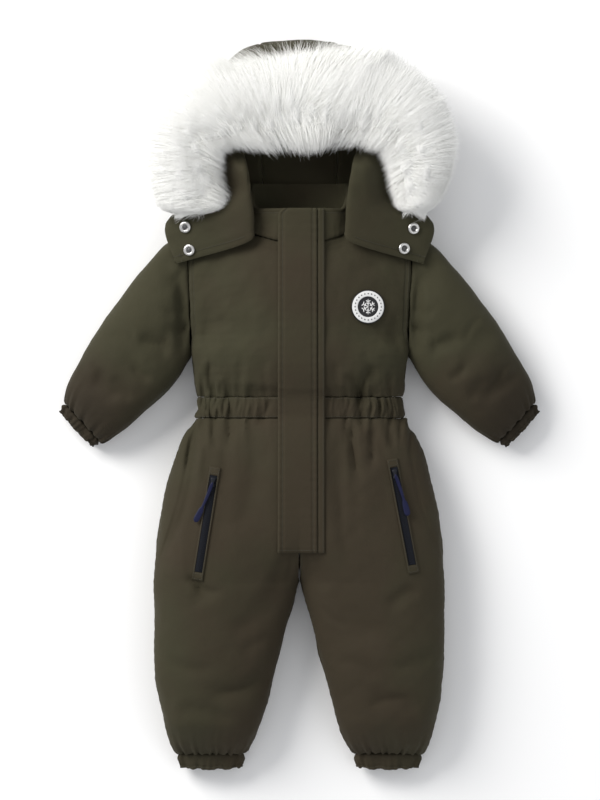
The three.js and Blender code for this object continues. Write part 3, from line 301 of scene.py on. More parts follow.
def place(x: Array, y: Array, z: Array) -> Array:
    """Points from their coordinates."""
    return np.stack(np.broadcast_arrays(x, y, z), axis=-1)


def trough(creases: Sequence[Crease], x: Array, y: Array) -> Array:
    """Depth of the creases at places in plan.

    Each is a bell across its line, which bows sideways like a parabola, and it fades
    out just past its two ends.

    Args:
        creases: The creases.
        x: Places across.
        y: Places along.

    Returns:
        The summed depth.
    """
    depth = np.zeros(np.broadcast(x, y).shape)
    for crease in creases:
        dx, dy = crease.x1 - crease.x0, crease.y1 - crease.y0
        length = math.hypot(dx, dy)
        along = ((x - crease.x0) * dx + (y - crease.y0) * dy) / length**2
        across = ((x - crease.x0) * dy - (y - crease.y0) * dx) / length
        inside = np.clip(along, 0.0, 1.0)
        across = across - 4 * crease.bow * inside * (1 - inside)
        ends = smooth(-0.25, 0.2, along) * (1 - smooth(0.8, 1.25, along))
        depth = depth + crease.depth * ends * np.exp(-((across / crease.reach) ** 2))
    return depth


def rumple(points: Array, size: float, seed: int, count: int = 14) -> Array:
    """Smooth uneven swelling, as a sum of plane waves with seeded directions and lengths.

    Args:
        points: Places, with the last axis x, y, z.
        size: The usual wave length.
        seed: The seed of the draw.
        count: How many waves are summed.

    Returns:
        A value near -2 to 2 at each place.
    """
    rng = np.random.default_rng(seed)
    ways = unit(rng.normal(size=(count, 3))) / (size * rng.uniform(0.7, 1.5, (count, 1)))
    turns = points @ (2 * math.pi * ways).T + rng.uniform(0, 2 * math.pi, count)
    return np.sin(turns).sum(axis=-1) / math.sqrt(count / 2)


def spline(before: Array, low: Array, high: Array, after: Array, t: Array) -> Array:
    """A smooth curve through four values, read between the middle two."""
    bend, twist = 2 * before - 5 * low + 4 * high - after, 3 * (low - high) + after - before
    return low + t * (high - before + t * (bend + t * twist)) / 2


class Suit:
    """The padded cloth's own surface: the body's tubes and the sleeves."""

    def half_tube(self, y: Array) -> tuple[Array, Array]:
        """One half's tube at a level, averaged over near levels so that it eases into the legs.

        Args:
            y: Levels.

        Returns:
            The distance of the tube's middle from the suit's middle, and its half width.
        """
        steps = CROTCH_EASE * np.array([-1.0, -0.5, 0.0, 0.5, 1.0])
        near = [self.plain_tube(y + step) / BODY.read("outer", y + step) for step in steps]
        middle, half = BODY.read("outer", y) * np.mean(near, axis=0)
        return middle, half

    def plain_tube(self, y: Array) -> Array:
        """The same before it is eased: half the trunk above the crotch, one leg below it.

        Args:
            y: Levels.

        Returns:
            The middles and the half widths.
        """
        outer, inner = BODY.reads(y, "outer inner")
        share = (CROTCH_CURVE_START_Y - y) / (CROTCH_CURVE_START_Y - CROTCH_Y)
        share = np.clip(share, 0, 1) ** CROTCH_CURVE_POWER
        trunk = np.stack((share, np.ones_like(share))) * outer / (1 + share)
        return np.where(y < CROTCH_Y, np.stack((outer + inner, outer - inner)) / 2, trunk)

    def middle_angle(self, y: Array) -> Array:
        """The angle at which a half's tube reaches the middle, or the inseam."""
        middle, half = self.half_tube(y)
        return np.arccos(np.clip((HALF_GAP - middle) / half, -1, 1))

    def shoulder_line(self, x: Array) -> Array:
        """The shoulder seam's level, rounded across the neck."""
        across = NECK_SIDE_Y + SHOULDER_SLOPE * (NECK_SIDE_X**2 - x**2) / (2 * NECK_SIDE_X)
        return np.where(x > NECK_SIDE_X, SHOULDER_END_Y + SHOULDER_SLOPE * (SHOULDER_END_X - x), across)

    def neck_front(self, x: Array) -> Array:
        """The front neckline's level."""
        share = np.clip(np.abs(x) / NECK_SIDE_X, 0, 1) ** NECK_CURVE_POWER
        return mix(NECK_FRONT_Y, NECK_SIDE_Y, share)

    def neck_back(self, x: Array) -> Array:
        """The back neckline's level."""
        return mix(NECK_BACK_Y, NECK_SIDE_Y, np.clip(np.abs(x) / NECK_SIDE_X, 0, 1) ** 2)

    def armhole_sine(self, y: Array) -> Array:
        """How far the armhole's loop has opened at a level, from 0 at its ends to 1."""
        share = np.clip((y - ARMPIT_Y) / (SHOULDER_END_Y - ARMPIT_Y), 0, 1)
        return np.sqrt(np.maximum(0, 1 - (1 - 2 * share) ** 2))

    def underside(self, edge: Array, sine: Array) -> Array:
        """A round lower corner that comes down to a flat underside."""
        return edge * (1 - quarter(sine / UNDERSIDE_CORNER))

    def front_level(self, sine: Array, x: Array, y: Array) -> Array:
        """The front's height, which domes between the side seams and drops at the shoulder.

        Args:
            sine: The sine of the angle round the tube.
            x: Distance from the suit's middle.
            y: Level along the suit.

        Returns:
            The height.
        """
        edge, top = BODY.reads(y, "edge top")
        steps = ARMPIT_EASE * np.array([-1.0, -0.6, -0.2, 0.2, 0.6, 1.0])
        eased = np.mean([self.armhole_sine(y + step) ** ARMHOLE_ARCH for step in steps], axis=0)
        plain = self.armhole_sine(y) ** ARMHOLE_ARCH
        arch = edge + (ARMHOLE_TOP_Z - edge) * mix(eased, plain, smooth(100, 130, y))
        roundness = mix(SIDE_ROUNDNESS, ARMHOLE_ROUNDNESS, smooth(0, ARMHOLE_BLEND, y - ARMPIT_Y))
        drop = quarter((self.shoulder_line(x) - y) / SHOULDER_DROP)
        upper = arch + (top - arch) * sine**roundness * drop
        return np.where(y > ARMPIT_Y - ARMPIT_EASE, upper, edge + (top - edge) * sine**SIDE_ROUNDNESS)

    def back_level(self, sine: Array, x: Array, y: Array) -> Array:
        """The back's height: flat where it rests, rounded up to its edges.

        Args:
            sine: The sine of the angle round the tube.
            x: Distance from the suit's middle.
            y: Level along the suit.

        Returns:
            The height.
        """
        edge = BODY.read("edge", y)
        drop = quarter((self.shoulder_line(x) - y) / BACK_DROP)
        nape = 1 - smooth(NAPE_HALF, NECK_SIDE_X, x)
        upper = 1 - quarter(sine / UNDERSIDE_CORNER) * np.maximum(drop, nape)
        upper = upper * self.underside(edge, self.armhole_sine(y))
        return np.where(y > ARMPIT_Y, upper, self.underside(edge, sine))

    def body(self, side: Array, angle: Array, y: Array) -> Array:
        """Points of the body: angle 0 is the side seam, + runs over the front, - under the back.

        Args:
            side: -1 for the wearer's right half, 1 for the left.
            angle: Angles round the half's tube.
            y: Levels along the suit.

        Returns:
            The points, with a last axis of x, y, z.
        """
        middle, half = self.half_tube(y)
        x = middle + half * np.cos(angle)
        sine = np.abs(np.sin(angle))
        fold = trough(FRONT_CREASES, side * x, y) * smooth(0.1, 0.5, sine)
        front = self.front_level(sine, x, y) - fold
        return place(side * x, y, np.where(angle < 0, self.back_level(sine, x, y), front))

    def front_height(self, x: Array, y: Array) -> Array:
        """The front's height over places in plan.

        Args:
            x: Places across.
            y: Places along.

        Returns:
            The body's height, at the angle that lies over each place.
        """
        middle, half = self.half_tube(y)
        angle = np.arccos(np.clip((np.abs(x) - middle) / half, -1, 1))
        return self.body(np.where(x < 0, -1.0, 1.0), angle, y)[..., 2]

    def sleeve(self, side: float, s: Array, angle: Array) -> Array:
        """Points of a sleeve: s runs from the armhole to the wrist, angle 0 is its upper edge.

        Args:
            side: -1 for the wearer's right, 1 for the left.
            s: Share of the way along the sleeve.
            angle: Angles round it, positive over its front.

        Returns:
            The points.
        """
        lower = SLEEVE.reads(s, "under_x under_y under_edge")
        upper = SLEEVE.reads(s, "upper_x upper_y edge")
        x, y, edge = (mix(low, high, (1 + np.cos(angle)) / 2) for low, high in zip(lower, upper))
        sine = np.abs(np.sin(angle))
        roundness = mix(ARMHOLE_ARCH, SIDE_ROUNDNESS, smooth(0, 0.3, s))
        fold = SLEEVE_CREASE_DEPTH * trough(SLEEVE_CREASES, x, y) * smooth(0.1, 0.5, sine)
        front = edge + (SLEEVE.read("top", s) - edge) * sine**roundness - fold
        return place(side * x, y, np.where(np.sin(angle) < 0, self.underside(edge, sine), front))

    def sleeve_height(self, x: Array, y: Array) -> Array:
        """The sleeve's height over places in plan, or 0 beside it.

        The sleeve's cross lines are tried one after another; where a place passes from
        one side of a line to the other, its station is found by proportion.

        Args:
            x: Distances from the suit's middle.
            y: Levels along the suit.

        Returns:
            The heights.
        """
        stations = np.linspace(0, 1, 61)
        flat_x, flat_y = np.abs(x).ravel()[:, None], y.ravel()[:, None]
        under_x, under_y, upper_x, upper_y = SLEEVE.reads(stations, "under_x under_y upper_x upper_y")
        way_x, way_y = upper_x - under_x, upper_y - under_y
        past = (flat_x - under_x) * way_y - (flat_y - under_y) * way_x
        share = ((flat_x - under_x) * way_x + (flat_y - under_y) * way_y) / (way_x**2 + way_y**2)
        crossed = (past[:, :-1] > 0) != (past[:, 1:] > 0)
        i = crossed.argmax(axis=1)
        rows = np.arange(len(i))
        before, after, share = past[rows, i], past[rows, i + 1], share[rows, i]
        step = (stations[1] - stations[0]) * before / np.where(before == after, 1, before - after)
        angle = np.arccos(np.clip(2 * share - 1, -1, 1))
        height = self.sleeve(1, np.clip(stations[i] + step, 0, 1), angle)[:, 2]
        inside = crossed.any(axis=1) & (share >= 0) & (share <= 1)
        return np.where(inside, height, 0).reshape(x.shape)

    def resting_height(self, x: Array, y: Array) -> Array:
        """What a flap lies on: the bodice or the sleeve, whichever is higher."""
        over = (np.abs(x) < SHOULDER_END_X) & (y < self.shoulder_line(np.abs(x)))
        return np.maximum(np.where(over, self.front_height(x, y), 0), self.sleeve_height(x, y))


@dataclass(frozen=True)
class Seam:
    """How a panel's cloth turns in along one of its sides, with any sewn grooves."""

    depth: float = 1.5
    reach: float = 5.0
    pucker: float = 0.35
    pitch: float = 9.0
    pucker_reach: float = 10.0
    grooves: tuple[float, ...] = ()
    groove_depth: float = 0.8
    groove_reach: float = 1.7


class Side(Enum):
    """The four sides of a panel's grid: the axis across each, and whether it is the last line."""

    FIRST_ROW = (0, False)
    LAST_ROW = (0, True)
    FIRST_COLUMN = (1, False)
    LAST_COLUMN = (1, True)


def grid_normals(points: Array, closed: bool) -> Array:
    """Normals of a grid of points, as the cross product of its two directions.

    Args:
        points: Rows and columns of points.
        closed: Whether the columns run all round a tube.

    Returns:
        A normal for each point.
    """
    round_tube = np.roll(points, -1, axis=1) - np.roll(points, 1, axis=1)
    across = round_tube if closed else np.gradient(points, axis=1)
    return unit(np.cross(np.gradient(points, axis=0), across))


def travelled(points: Array, axis: int) -> Array:
    """Distance along a grid's lines from their first point.

    Args:
        points: Rows and columns of points.
        axis: 0 to go from row to row, 1 from column to column.

    Returns:
        A distance for each point.
    """
    steps = np.linalg.norm(np.diff(points, axis=axis), axis=-1)
    start = np.zeros_like(np.take(steps, [0], axis))
    return np.concatenate((start, np.cumsum(steps, axis=axis)), axis=axis)


def make_piece(
    name: str, shape: Shape, material: Material,
    smooth_to: float = 50.0, stands_for: tuple[str, ...] = (),
) -> Piece:
    """Makes an object at the origin that rides on the root body.

    Args:
        name: The object's name.
        shape: Its points in millimetres, and the corner numbers of its faces.
        material: Its finish.
        smooth_to: Edges that turn by more degrees than this stay sharp.
        stands_for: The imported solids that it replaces.

    Returns:
        The object.
    """
    points, faces = shape[0].reshape(-1, 3), shape[1]
    mesh = bpy.data.meshes.new(name)
    mesh.vertices.add(len(points))
    mesh.vertices.foreach_set("co", (points * MM).astype(np.float32).ravel())
    mesh.loops.add(faces.size)
    mesh.loops.foreach_set("vertex_index", faces.astype(np.int32).ravel())
    mesh.polygons.add(len(faces))
    mesh.polygons.foreach_set("loop_start", np.arange(0, faces.size, faces.shape[1], dtype=np.int32))
    mesh.update(calc_edges=True)
    mesh.validate()
    mesh.polygons.foreach_set("use_smooth", np.ones(len(mesh.polygons), dtype=bool))
    mesh.set_sharp_from_angle(angle=math.radians(smooth_to))
    mesh.materials.append(material)
    piece = bpy.data.objects.new(name, mesh)
    bpy.context.scene.collection.objects.link(piece)
    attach(piece, ROOT)
    if stands_for:
        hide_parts(*stands_for)
    LOG.info("%s: %d faces", name, len(faces))
    return piece


def add_uv(piece: Piece, uv: Array) -> None:
    """Gives a mesh a UV map in metres from a value for each face corner."""
    layer = piece.data.uv_layers.new(name="cloth")
    layer.uv.foreach_set("vector", (uv * MM).astype(np.float32).ravel())


def add_number(piece: Piece, name: str, values: Array) -> None:
    """Stores a number for each point of a mesh."""
    attribute = piece.data.attributes.new(name, "FLOAT", "POINT")
    attribute.data.foreach_set("value", values.astype(np.float32).ravel())


def grid_faces(rows: int, columns: int, closed: bool) -> Array:
    """Corner numbers of a grid's quads, turned so that their normals follow grid_normals.

    Args:
        rows: Rows of the grid.
        columns: Columns of the grid.
        closed: Whether the columns run all round a tube.

    Returns:
        The quads, one a row.
    """
    i, j = np.meshgrid(np.arange(rows - 1), np.arange(columns - (not closed)), indexing="ij")
    after = (j + 1) % columns
    quads = (i * columns + j, (i + 1) * columns + j, (i + 1) * columns + after, i * columns + after)
    return np.stack(quads, axis=-1).reshape(-1, 4)


def tube_faces(rings: int, sides: int) -> Array:
    """Faces of a closed tube of rings: its sides, and a cap of quads across each end.

    Args:
        rings: How many rings there are.
        sides: How many points each has.

    Returns:
        The quads, one a row.
    """
    k = np.arange(sides // 2 - 1)
    cap = np.stack((k, k + 1, sides - 2 - k, sides - 1 - k), axis=-1)
    last = (rings - 1) * sides + cap[:, ::-1]
    return np.concatenate((grid_faces(rings, sides, True)[:, ::-1], cap, last))


def wall_faces(rows: int, columns: int, closed: bool) -> Array:
    """Faces of a wall that has an outer and an inner layer on one grid, with closed rims.

    Args:
        rows: Rows of the grid.
        columns: Columns of the grid.
        closed: Whether the columns run all round a tube.

    Returns:
        The faces, the outer layer's first.
    """
    outer = grid_faces(rows, columns, closed)
    count = rows * columns
    ring = np.arange(columns)
    right = np.arange(1, rows) * columns + columns - 1
    bottom = (rows - 1) * columns + np.arange(columns - 2, -1, -1)
    left = np.arange(rows - 2, 0, -1) * columns
    whole = [np.concatenate((ring, right, bottom, left))]
    rims = []
    for loop in [ring, (rows - 1) * columns + ring[::-1]] if closed else whole:
        after = np.roll(loop, -1)
        rims.append(np.stack((loop, after, after + count, loop + count), axis=-1))
    return np.concatenate((outer, outer[:, ::-1] + count, *rims))


@dataclass
class Panel:
    """One cut piece of padded cloth: a wall around a grid of surface points."""

    name: str
    nodes: tuple[str, ...]
    surface: Surface
    rows: Array
    columns: Array
    wall: float
    seams: dict[Side, Seam] = field(default_factory=dict)
    closed: bool = False
    lift: float = 0.0
    crumple: float = 0.35
    crumple_size: float = 34.0
    waves: Callable[[Array, Array, Array], Array] | None = None
    calm: Callable[[Array], Array] | None = None
    both_faces: bool = False
    held: str = "laid"
    rests_on: tuple[str, ...] = ("floor",)
    seed: int = 1
    heart: Array | None = None

    def shape(self) -> None:
        """Works out the outer and inner points from the surface, seams, waves and crumples."""
        grid = np.meshgrid(self.rows, self.columns, indexing="ij")
        base = self.surface(*grid)
        normals = grid_normals(base, self.closed)
        heart = base.reshape(-1, 3).mean(axis=0) if self.heart is None else self.heart
        self.turned = bool(((base - heart) * normals).sum() < 0)
        self.base, self.normals = base, -normals if self.turned else normals
        self.along, self.across = travelled(base, 0), travelled(base, 1)
        depth, self.closeness = self.seam_depth()
        swell = self.crumple * rumple(base, self.crumple_size, self.seed)
        swell = swell + 0.22 * self.crumple * rumple(base, self.crumple_size / 3, self.seed + 7)
        if self.waves is not None:
            swell = swell + self.waves(*grid, base)
        if self.calm is not None:
            swell = swell * self.calm(base)
        self.outer = base + self.normals * (self.lift + swell - depth)[..., None]
        bend = depth if self.both_faces else 0 * depth
        self.inner = base + self.normals * (self.lift - self.wall + bend + 0.6 * swell)[..., None]
        self.outer[..., 2] = np.maximum(self.outer[..., 2], LOWEST_OUTER)
        self.inner[..., 2] = np.maximum(self.inner[..., 2], LOWEST_INNER)

    def away(self, side: Side) -> Array:
        """How far each point lies from a side."""
        run, last = (self.along, self.across)[side.value[0]], side.value[1]
        return np.take(run, [-1], side.value[0]) - run if last else run

    def seam_depth(self) -> tuple[Array, Array]:
        """How the seams draw the cloth in: a quarter round, puckers that fade, and sewn grooves.

        Returns:
            The depth at each point, and how close it is to a worn edge.
        """
        depth, closeness = np.zeros_like(self.along), np.zeros_like(self.along)
        for order, (side, seam) in enumerate(self.seams.items()):
            away, beside = self.away(side), (self.across, self.along)[side.value[0]]
            near = seam.depth * (1 - quarter(away / seam.reach))
            wave = np.sin(2 * math.pi * beside / seam.pitch + 1.7 * np.sin(beside / 31 + order))
            near = near + seam.pucker * wave * np.exp(-away / seam.pucker_reach)
            for groove in seam.grooves:
                near = near + seam.groove_depth * np.exp(-(((away - groove) / seam.groove_reach) ** 2))
                closeness = np.maximum(closeness, 0.6 * np.exp(-np.abs(away - groove) / 2.5))
            depth = depth + near
            closeness = np.maximum(closeness, np.exp(-away / 4.0))
        return depth, closeness

    def build(self, material: Material, slot: str = "shell") -> Panel:
        """Makes the panel's mesh and works out its cut's width, length and area without keeping them.

        Args:
            material: The cloth.
            slot: The record's material slot, which is not used.

        Returns:
            The panel, with its outer points worked out.
        """
        self.shape()
        columns = self.base.shape[1]
        faces = wall_faces(*self.base.shape[:2], self.closed)
        if self.turned:
            faces = faces[:, ::-1]
        points = np.concatenate((self.outer.reshape(-1, 3), self.inner.reshape(-1, 3)))
        piece = make_piece(self.name, (points, faces), material, stands_for=self.nodes)
        flat = np.stack((self.across.ravel(), self.along.ravel()), axis=-1)
        uv = np.tile(flat, (2, 1))[faces.ravel()].reshape(-1, 4, 2)
        if self.closed:
            column = faces % columns
            wraps = (column.max(axis=1) == columns - 1) & (column.min(axis=1) == 0)
            lap = self.across.max() + self.laps().mean()
            uv[..., 0] += np.where((column == 0) & wraps[:, None], lap, 0)
        add_uv(piece, uv.reshape(-1, 2))
        add_number(piece, "edge", np.tile(self.closeness.ravel(), 2))
        self.declare()
        return self

    def laps(self) -> Array:
        """The distance between a tube's last and first column, on each row."""
        return np.linalg.norm(self.base[:, 0] - self.base[:, -1], axis=-1)

    def declare(self) -> None:
        lap = float(self.laps().max()) if self.closed else 0.0
        width = float(self.across[:, -1].max() + lap) * MM
        length = max(float(self.along[-1].max()) * MM, NARROWEST_CUT)
        along = np.diff(self.base, axis=0)
        ring = np.concatenate((self.base, self.base[:, :1]), axis=1) if self.closed else self.base
        across = np.diff(ring, axis=1)
        cells = np.cross(along[:, : across.shape[1]], across[:-1])
        area = float(np.linalg.norm(cells, axis=-1).sum()) * MM * MM
        area = min(max(area, 0.31 * width * length), width * length)

    def line(self, side: Side, distance: float) -> tuple[Array, Array]:
        """A line on the outer face at a distance from one side.

        Args:
            side: The side it keeps its distance from.
            distance: The distance.

        Returns:
            The line's points and the normals there.
        """
        axis, last = side.value
        grids = (self.away(side), self.outer, self.normals)
        grids = [np.swapaxes(grid, 0, 1) if axis == 0 else grid for grid in grids]
        away, points, normals = (grid[:, ::-1] if last else grid for grid in grids)
        i = np.clip((away >= distance).argmax(axis=1), 1, None)
        lines = np.arange(len(away))
        before, after = away[lines, i - 1], away[lines, i]
        share = np.clip((distance - before) / np.maximum(after - before, 1e-6), 0, 1)[:, None]
        middle = mix(points[lines, i - 1], points[lines, i], share)
        return middle, unit(mix(normals[lines, i - 1], normals[lines, i], share))


def repeat(shape: Shape, places: Array, ahead: Array, up: Array, stretch: Array | None = None) -> Shape:
    """Copies one small shape to many places.

    Args:
        shape: The shape, with x ahead, y to the side and z up.
        places: Where each copy goes.
        ahead: Which way its x axis points.
        up: Roughly which way its z axis points.
        stretch: How much longer each copy is along x.

    Returns:
        All the points and faces.
    """
    points, faces = shape
    beside = unit(np.cross(up, ahead))
    frames = np.stack((ahead, beside, np.cross(ahead, beside)), axis=1)
    longer = np.ones(len(places)) if stretch is None else stretch
    scaled = points * place(longer, 1.0, 1.0)[:, None]
    every = places[:, None] + np.einsum("npk,nkc->npc", scaled, frames)
    numbers = faces[None] + (np.arange(len(places)) * len(points))[:, None, None]
    return every.reshape(-1, 3), numbers.reshape(-1, faces.shape[1])


def bead(length: float, radius: float, height: float, sides: int = 6) -> Shape:
    """A small closed lozenge: four rings along x, the outer two a third as wide.

    Args:
        length: Its length along x.
        radius: Its half width.
        height: Its half height.
        sides: How many sides it has.

    Returns:
        Its points and faces.
    """
    x, swell = np.array([(-0.5, 0.35), (-0.28, 1.0), (0.28, 1.0), (0.5, 0.35)]).T[..., None]
    turn = around(sides)
    points = place(length * x, radius * swell * np.cos(turn), height * swell * np.sin(turn))
    return points.reshape(-1, 3), tube_faces(4, sides)


def swept(centres: Array, halves: Array, heights: Array, up: Array, sides: int = 12) -> Shape:
    """A closed bar along a line, with a squared oval section.

    Args:
        centres: The line's points.
        halves: Half width at each point.
        heights: Half height at each point.
        up: Which way its upper side faces.
        sides: How many sides the section has.

    Returns:
        Its points and faces.
    """
    beside = unit(np.cross(up, unit(np.gradient(centres, axis=0))))
    turn = around(sides) + math.pi / sides
    wide, high = squared(np.cos(turn), 0.6), squared(np.sin(turn), 0.6)
    points = centres[:, None] + beside[:, None] * (wide * halves[:, None])[..., None]
    points = points + up * (high * heights[:, None])[..., None]
    return points, tube_faces(len(centres), sides)


class Stitching:
    """Runs of stitches that are joined into one piece."""

    PITCH = 3.3
    LENGTH = 2.6
    RADIUS = 0.36
    SINK = 0.05
    NEAR = 0.3

    def __init__(self, name: str) -> None:
        """Starts with no runs."""
        self.name = name
        self.runs: list[tuple[Array, Array, Array]] = []

    def run(self, points: Array, normals: Array) -> None:
        """Adds evenly spaced stitches along a line.

        Args:
            points: The line's points.
            normals: The normals there.
        """
        run = np.concatenate(([0.0], np.cumsum(np.linalg.norm(np.diff(points, axis=0), axis=1))))
        count = max(2, int(run[-1] / self.PITCH))
        at = (np.arange(count) + 0.5) * run[-1] / count
        middle, ahead, behind, up = (
            np.stack([np.interp(at + step, run, line[:, k]) for k in range(3)], axis=-1)
            for step, line in ((0, points), (self.NEAR, points), (-self.NEAR, points), (0, normals))
        )
        self.runs.append((middle, unit(ahead - behind), unit(up)))

    def follow(
        self, panel: Panel, side: Side, distance: float, keep: Callable[[Array], Array] | None = None
    ) -> None:
        """Adds a run at a distance from a panel's side.

        Args:
            panel: The panel.
            side: The side that the run follows.
            distance: How far in it lies.
            keep: Says for the line's points which are sewn.
        """
        points, normals = panel.line(side, distance)
        sewn = slice(None) if keep is None else keep(points)
        self.run(points[sewn], normals[sewn])

    def build(self, material: Material) -> None:
        """Joins all the stitches into one mesh.

        Args:
            material: The thread.
        """
        middle, ahead, up = (np.concatenate(column) for column in zip(*self.runs))
        stitch = bead(self.LENGTH, self.RADIUS, self.RADIUS, 4)
        make_piece(self.name, repeat(stitch, middle + up * self.SINK, ahead, up), material, 180)


class Socket:
    """One output of a shader node, which Python's operators turn into Math nodes."""

    def __init__(self, shader: Shader, node: bpy.types.Node, key: int | str = 0) -> None:
        """Wraps an output of a node."""
        self.shader, self.node, self.key = shader, node, key

    def output(self, key: int | str) -> Socket:
        """Another output of the same node."""
        return Socket(self.shader, self.node, key)

    def link(self) -> bpy.types.NodeSocket:
        """The output itself."""
        return self.node.outputs[self.key]

    def maths(self, operation: str, *values: Socket | float) -> Socket:
        """A Math node of these values."""
        return self.shader.node("ShaderNodeMath", {"operation": operation}, dict(enumerate(values)))

    def __add__(self, other: Socket | float) -> Socket:
        """The sum."""
        return self.maths("ADD", self, other)

    __radd__ = __add__

    def __sub__(self, other: Socket | float) -> Socket:
        """The difference."""
        return self.maths("SUBTRACT", self, other)

    def __rsub__(self, other: Socket | float) -> Socket:
        """The difference from a plain number."""
        return self.maths("SUBTRACT", other, self)

    def __mul__(self, other: Socket | float) -> Socket:
        """The product."""
        return self.maths("MULTIPLY", self, other)

    __rmul__ = __mul__

    def absolute(self) -> Socket:
        """The value without its sign."""
        return self.maths("ABSOLUTE", self)

    def sine(self) -> Socket:
        """The sine."""
        return self.maths("SINE", self)

    def power(self, exponent: float) -> Socket:
        """The power."""
        return self.maths("POWER", self, exponent)

    def within(self) -> Socket:
        """The value held between 0 and 1."""
        return self.maths("MINIMUM", self.maths("MAXIMUM", self, 0.0), 1.0)


class Shader:
    """A material's nodes, made in a few calls."""

    def __init__(self, name: str) -> None:
        """Starts a material with no nodes."""
        self.material = bpy.data.materials.new(name)
        self.material.use_nodes = True
        self.tree = self.material.node_tree
        self.tree.nodes.clear()

    def node(self, kind: str, settings: dict | None = None, inputs: dict | None = None) -> Socket:
        """Adds any node.

        Args:
            kind: The node's type.
            settings: Values of its own fields, or "stops" for a ramp's places and colours.
            inputs: Values or links for its sockets, by number or name.

        Returns:
            The node's first output.
        """
        made = self.tree.nodes.new(kind)
        for name, value in (settings or {}).items():
            if name == "stops":
                self.set_stops(made.color_ramp, value)
            else:
                setattr(made, name, value)
        for key, value in (inputs or {}).items():
            if isinstance(value, Socket):
                self.tree.links.new(value.link(), made.inputs[key])
            else:
                made.inputs[key].default_value = value
        return Socket(self, made)

    def set_stops(self, ramp: bpy.types.ColorRamp, stops: Sequence[tuple[float, Colour]]) -> None:
        """Sets a ramp's places and colours.

        Args:
            ramp: The ramp.
            stops: Each stop's place and colour.
        """
        while len(ramp.elements) < len(stops):
            ramp.elements.new(0.5)
        for element, (position, colour) in zip(ramp.elements, stops):
            element.position = position
            element.color = (*colour, 1.0)

    def noise(self, scale: float, detail: float = 2.0) -> Socket:
        """A noise pattern on the piece's own coordinates."""
        spot = self.node("ShaderNodeTexCoord").output("Object")
        return self.node("ShaderNodeTexNoise", None, {"Vector": spot, "Scale": scale, "Detail": detail})

    def number(self, attribute: str) -> Socket:
        """A number that is stored on the mesh's points."""
        return self.node("ShaderNodeAttribute", {"attribute_name": attribute}).output("Fac")

    def split(self, vector: Socket) -> tuple[Socket, Socket]:
        """The first two parts of a vector."""
        parts = self.node("ShaderNodeSeparateXYZ", None, {0: vector})
        return parts, parts.output(1)

    def blend(self, factor: Socket | float, low: Socket | Colour, high: Socket | Colour) -> Socket:
        """A colour at a share of the way between two others."""
        inputs = {0: factor, 6: self.colour(low), 7: self.colour(high)}
        return self.node("ShaderNodeMix", {"data_type": "RGBA"}, inputs).output(2)

    def colour(self, value: object) -> object:
        """A plain colour with its alpha, or anything else as it is."""
        return (*value, 1.0) if isinstance(value, tuple) else value

    def bump(self, height: Socket, strength: float, distance: float, **under: Socket) -> Socket:
        """A bump of a height pattern, over another normal where one is given."""
        inputs = {"Strength": strength, "Distance": distance, "Height": height, **under}
        return self.node("ShaderNodeBump", None, inputs)

    def principled(self, **inputs: object) -> Socket:
        """A Principled shader with these sockets, with _ for each space in a name."""
        named = {key.replace("_", " "): self.colour(value) for key, value in inputs.items()}
        return self.node("ShaderNodeBsdfPrincipled", None, named)

    def finish(self, surface: Socket) -> Material:
        """Ends the material in a surface."""
        self.node("ShaderNodeOutputMaterial", None, {"Surface": surface})
        return self.material


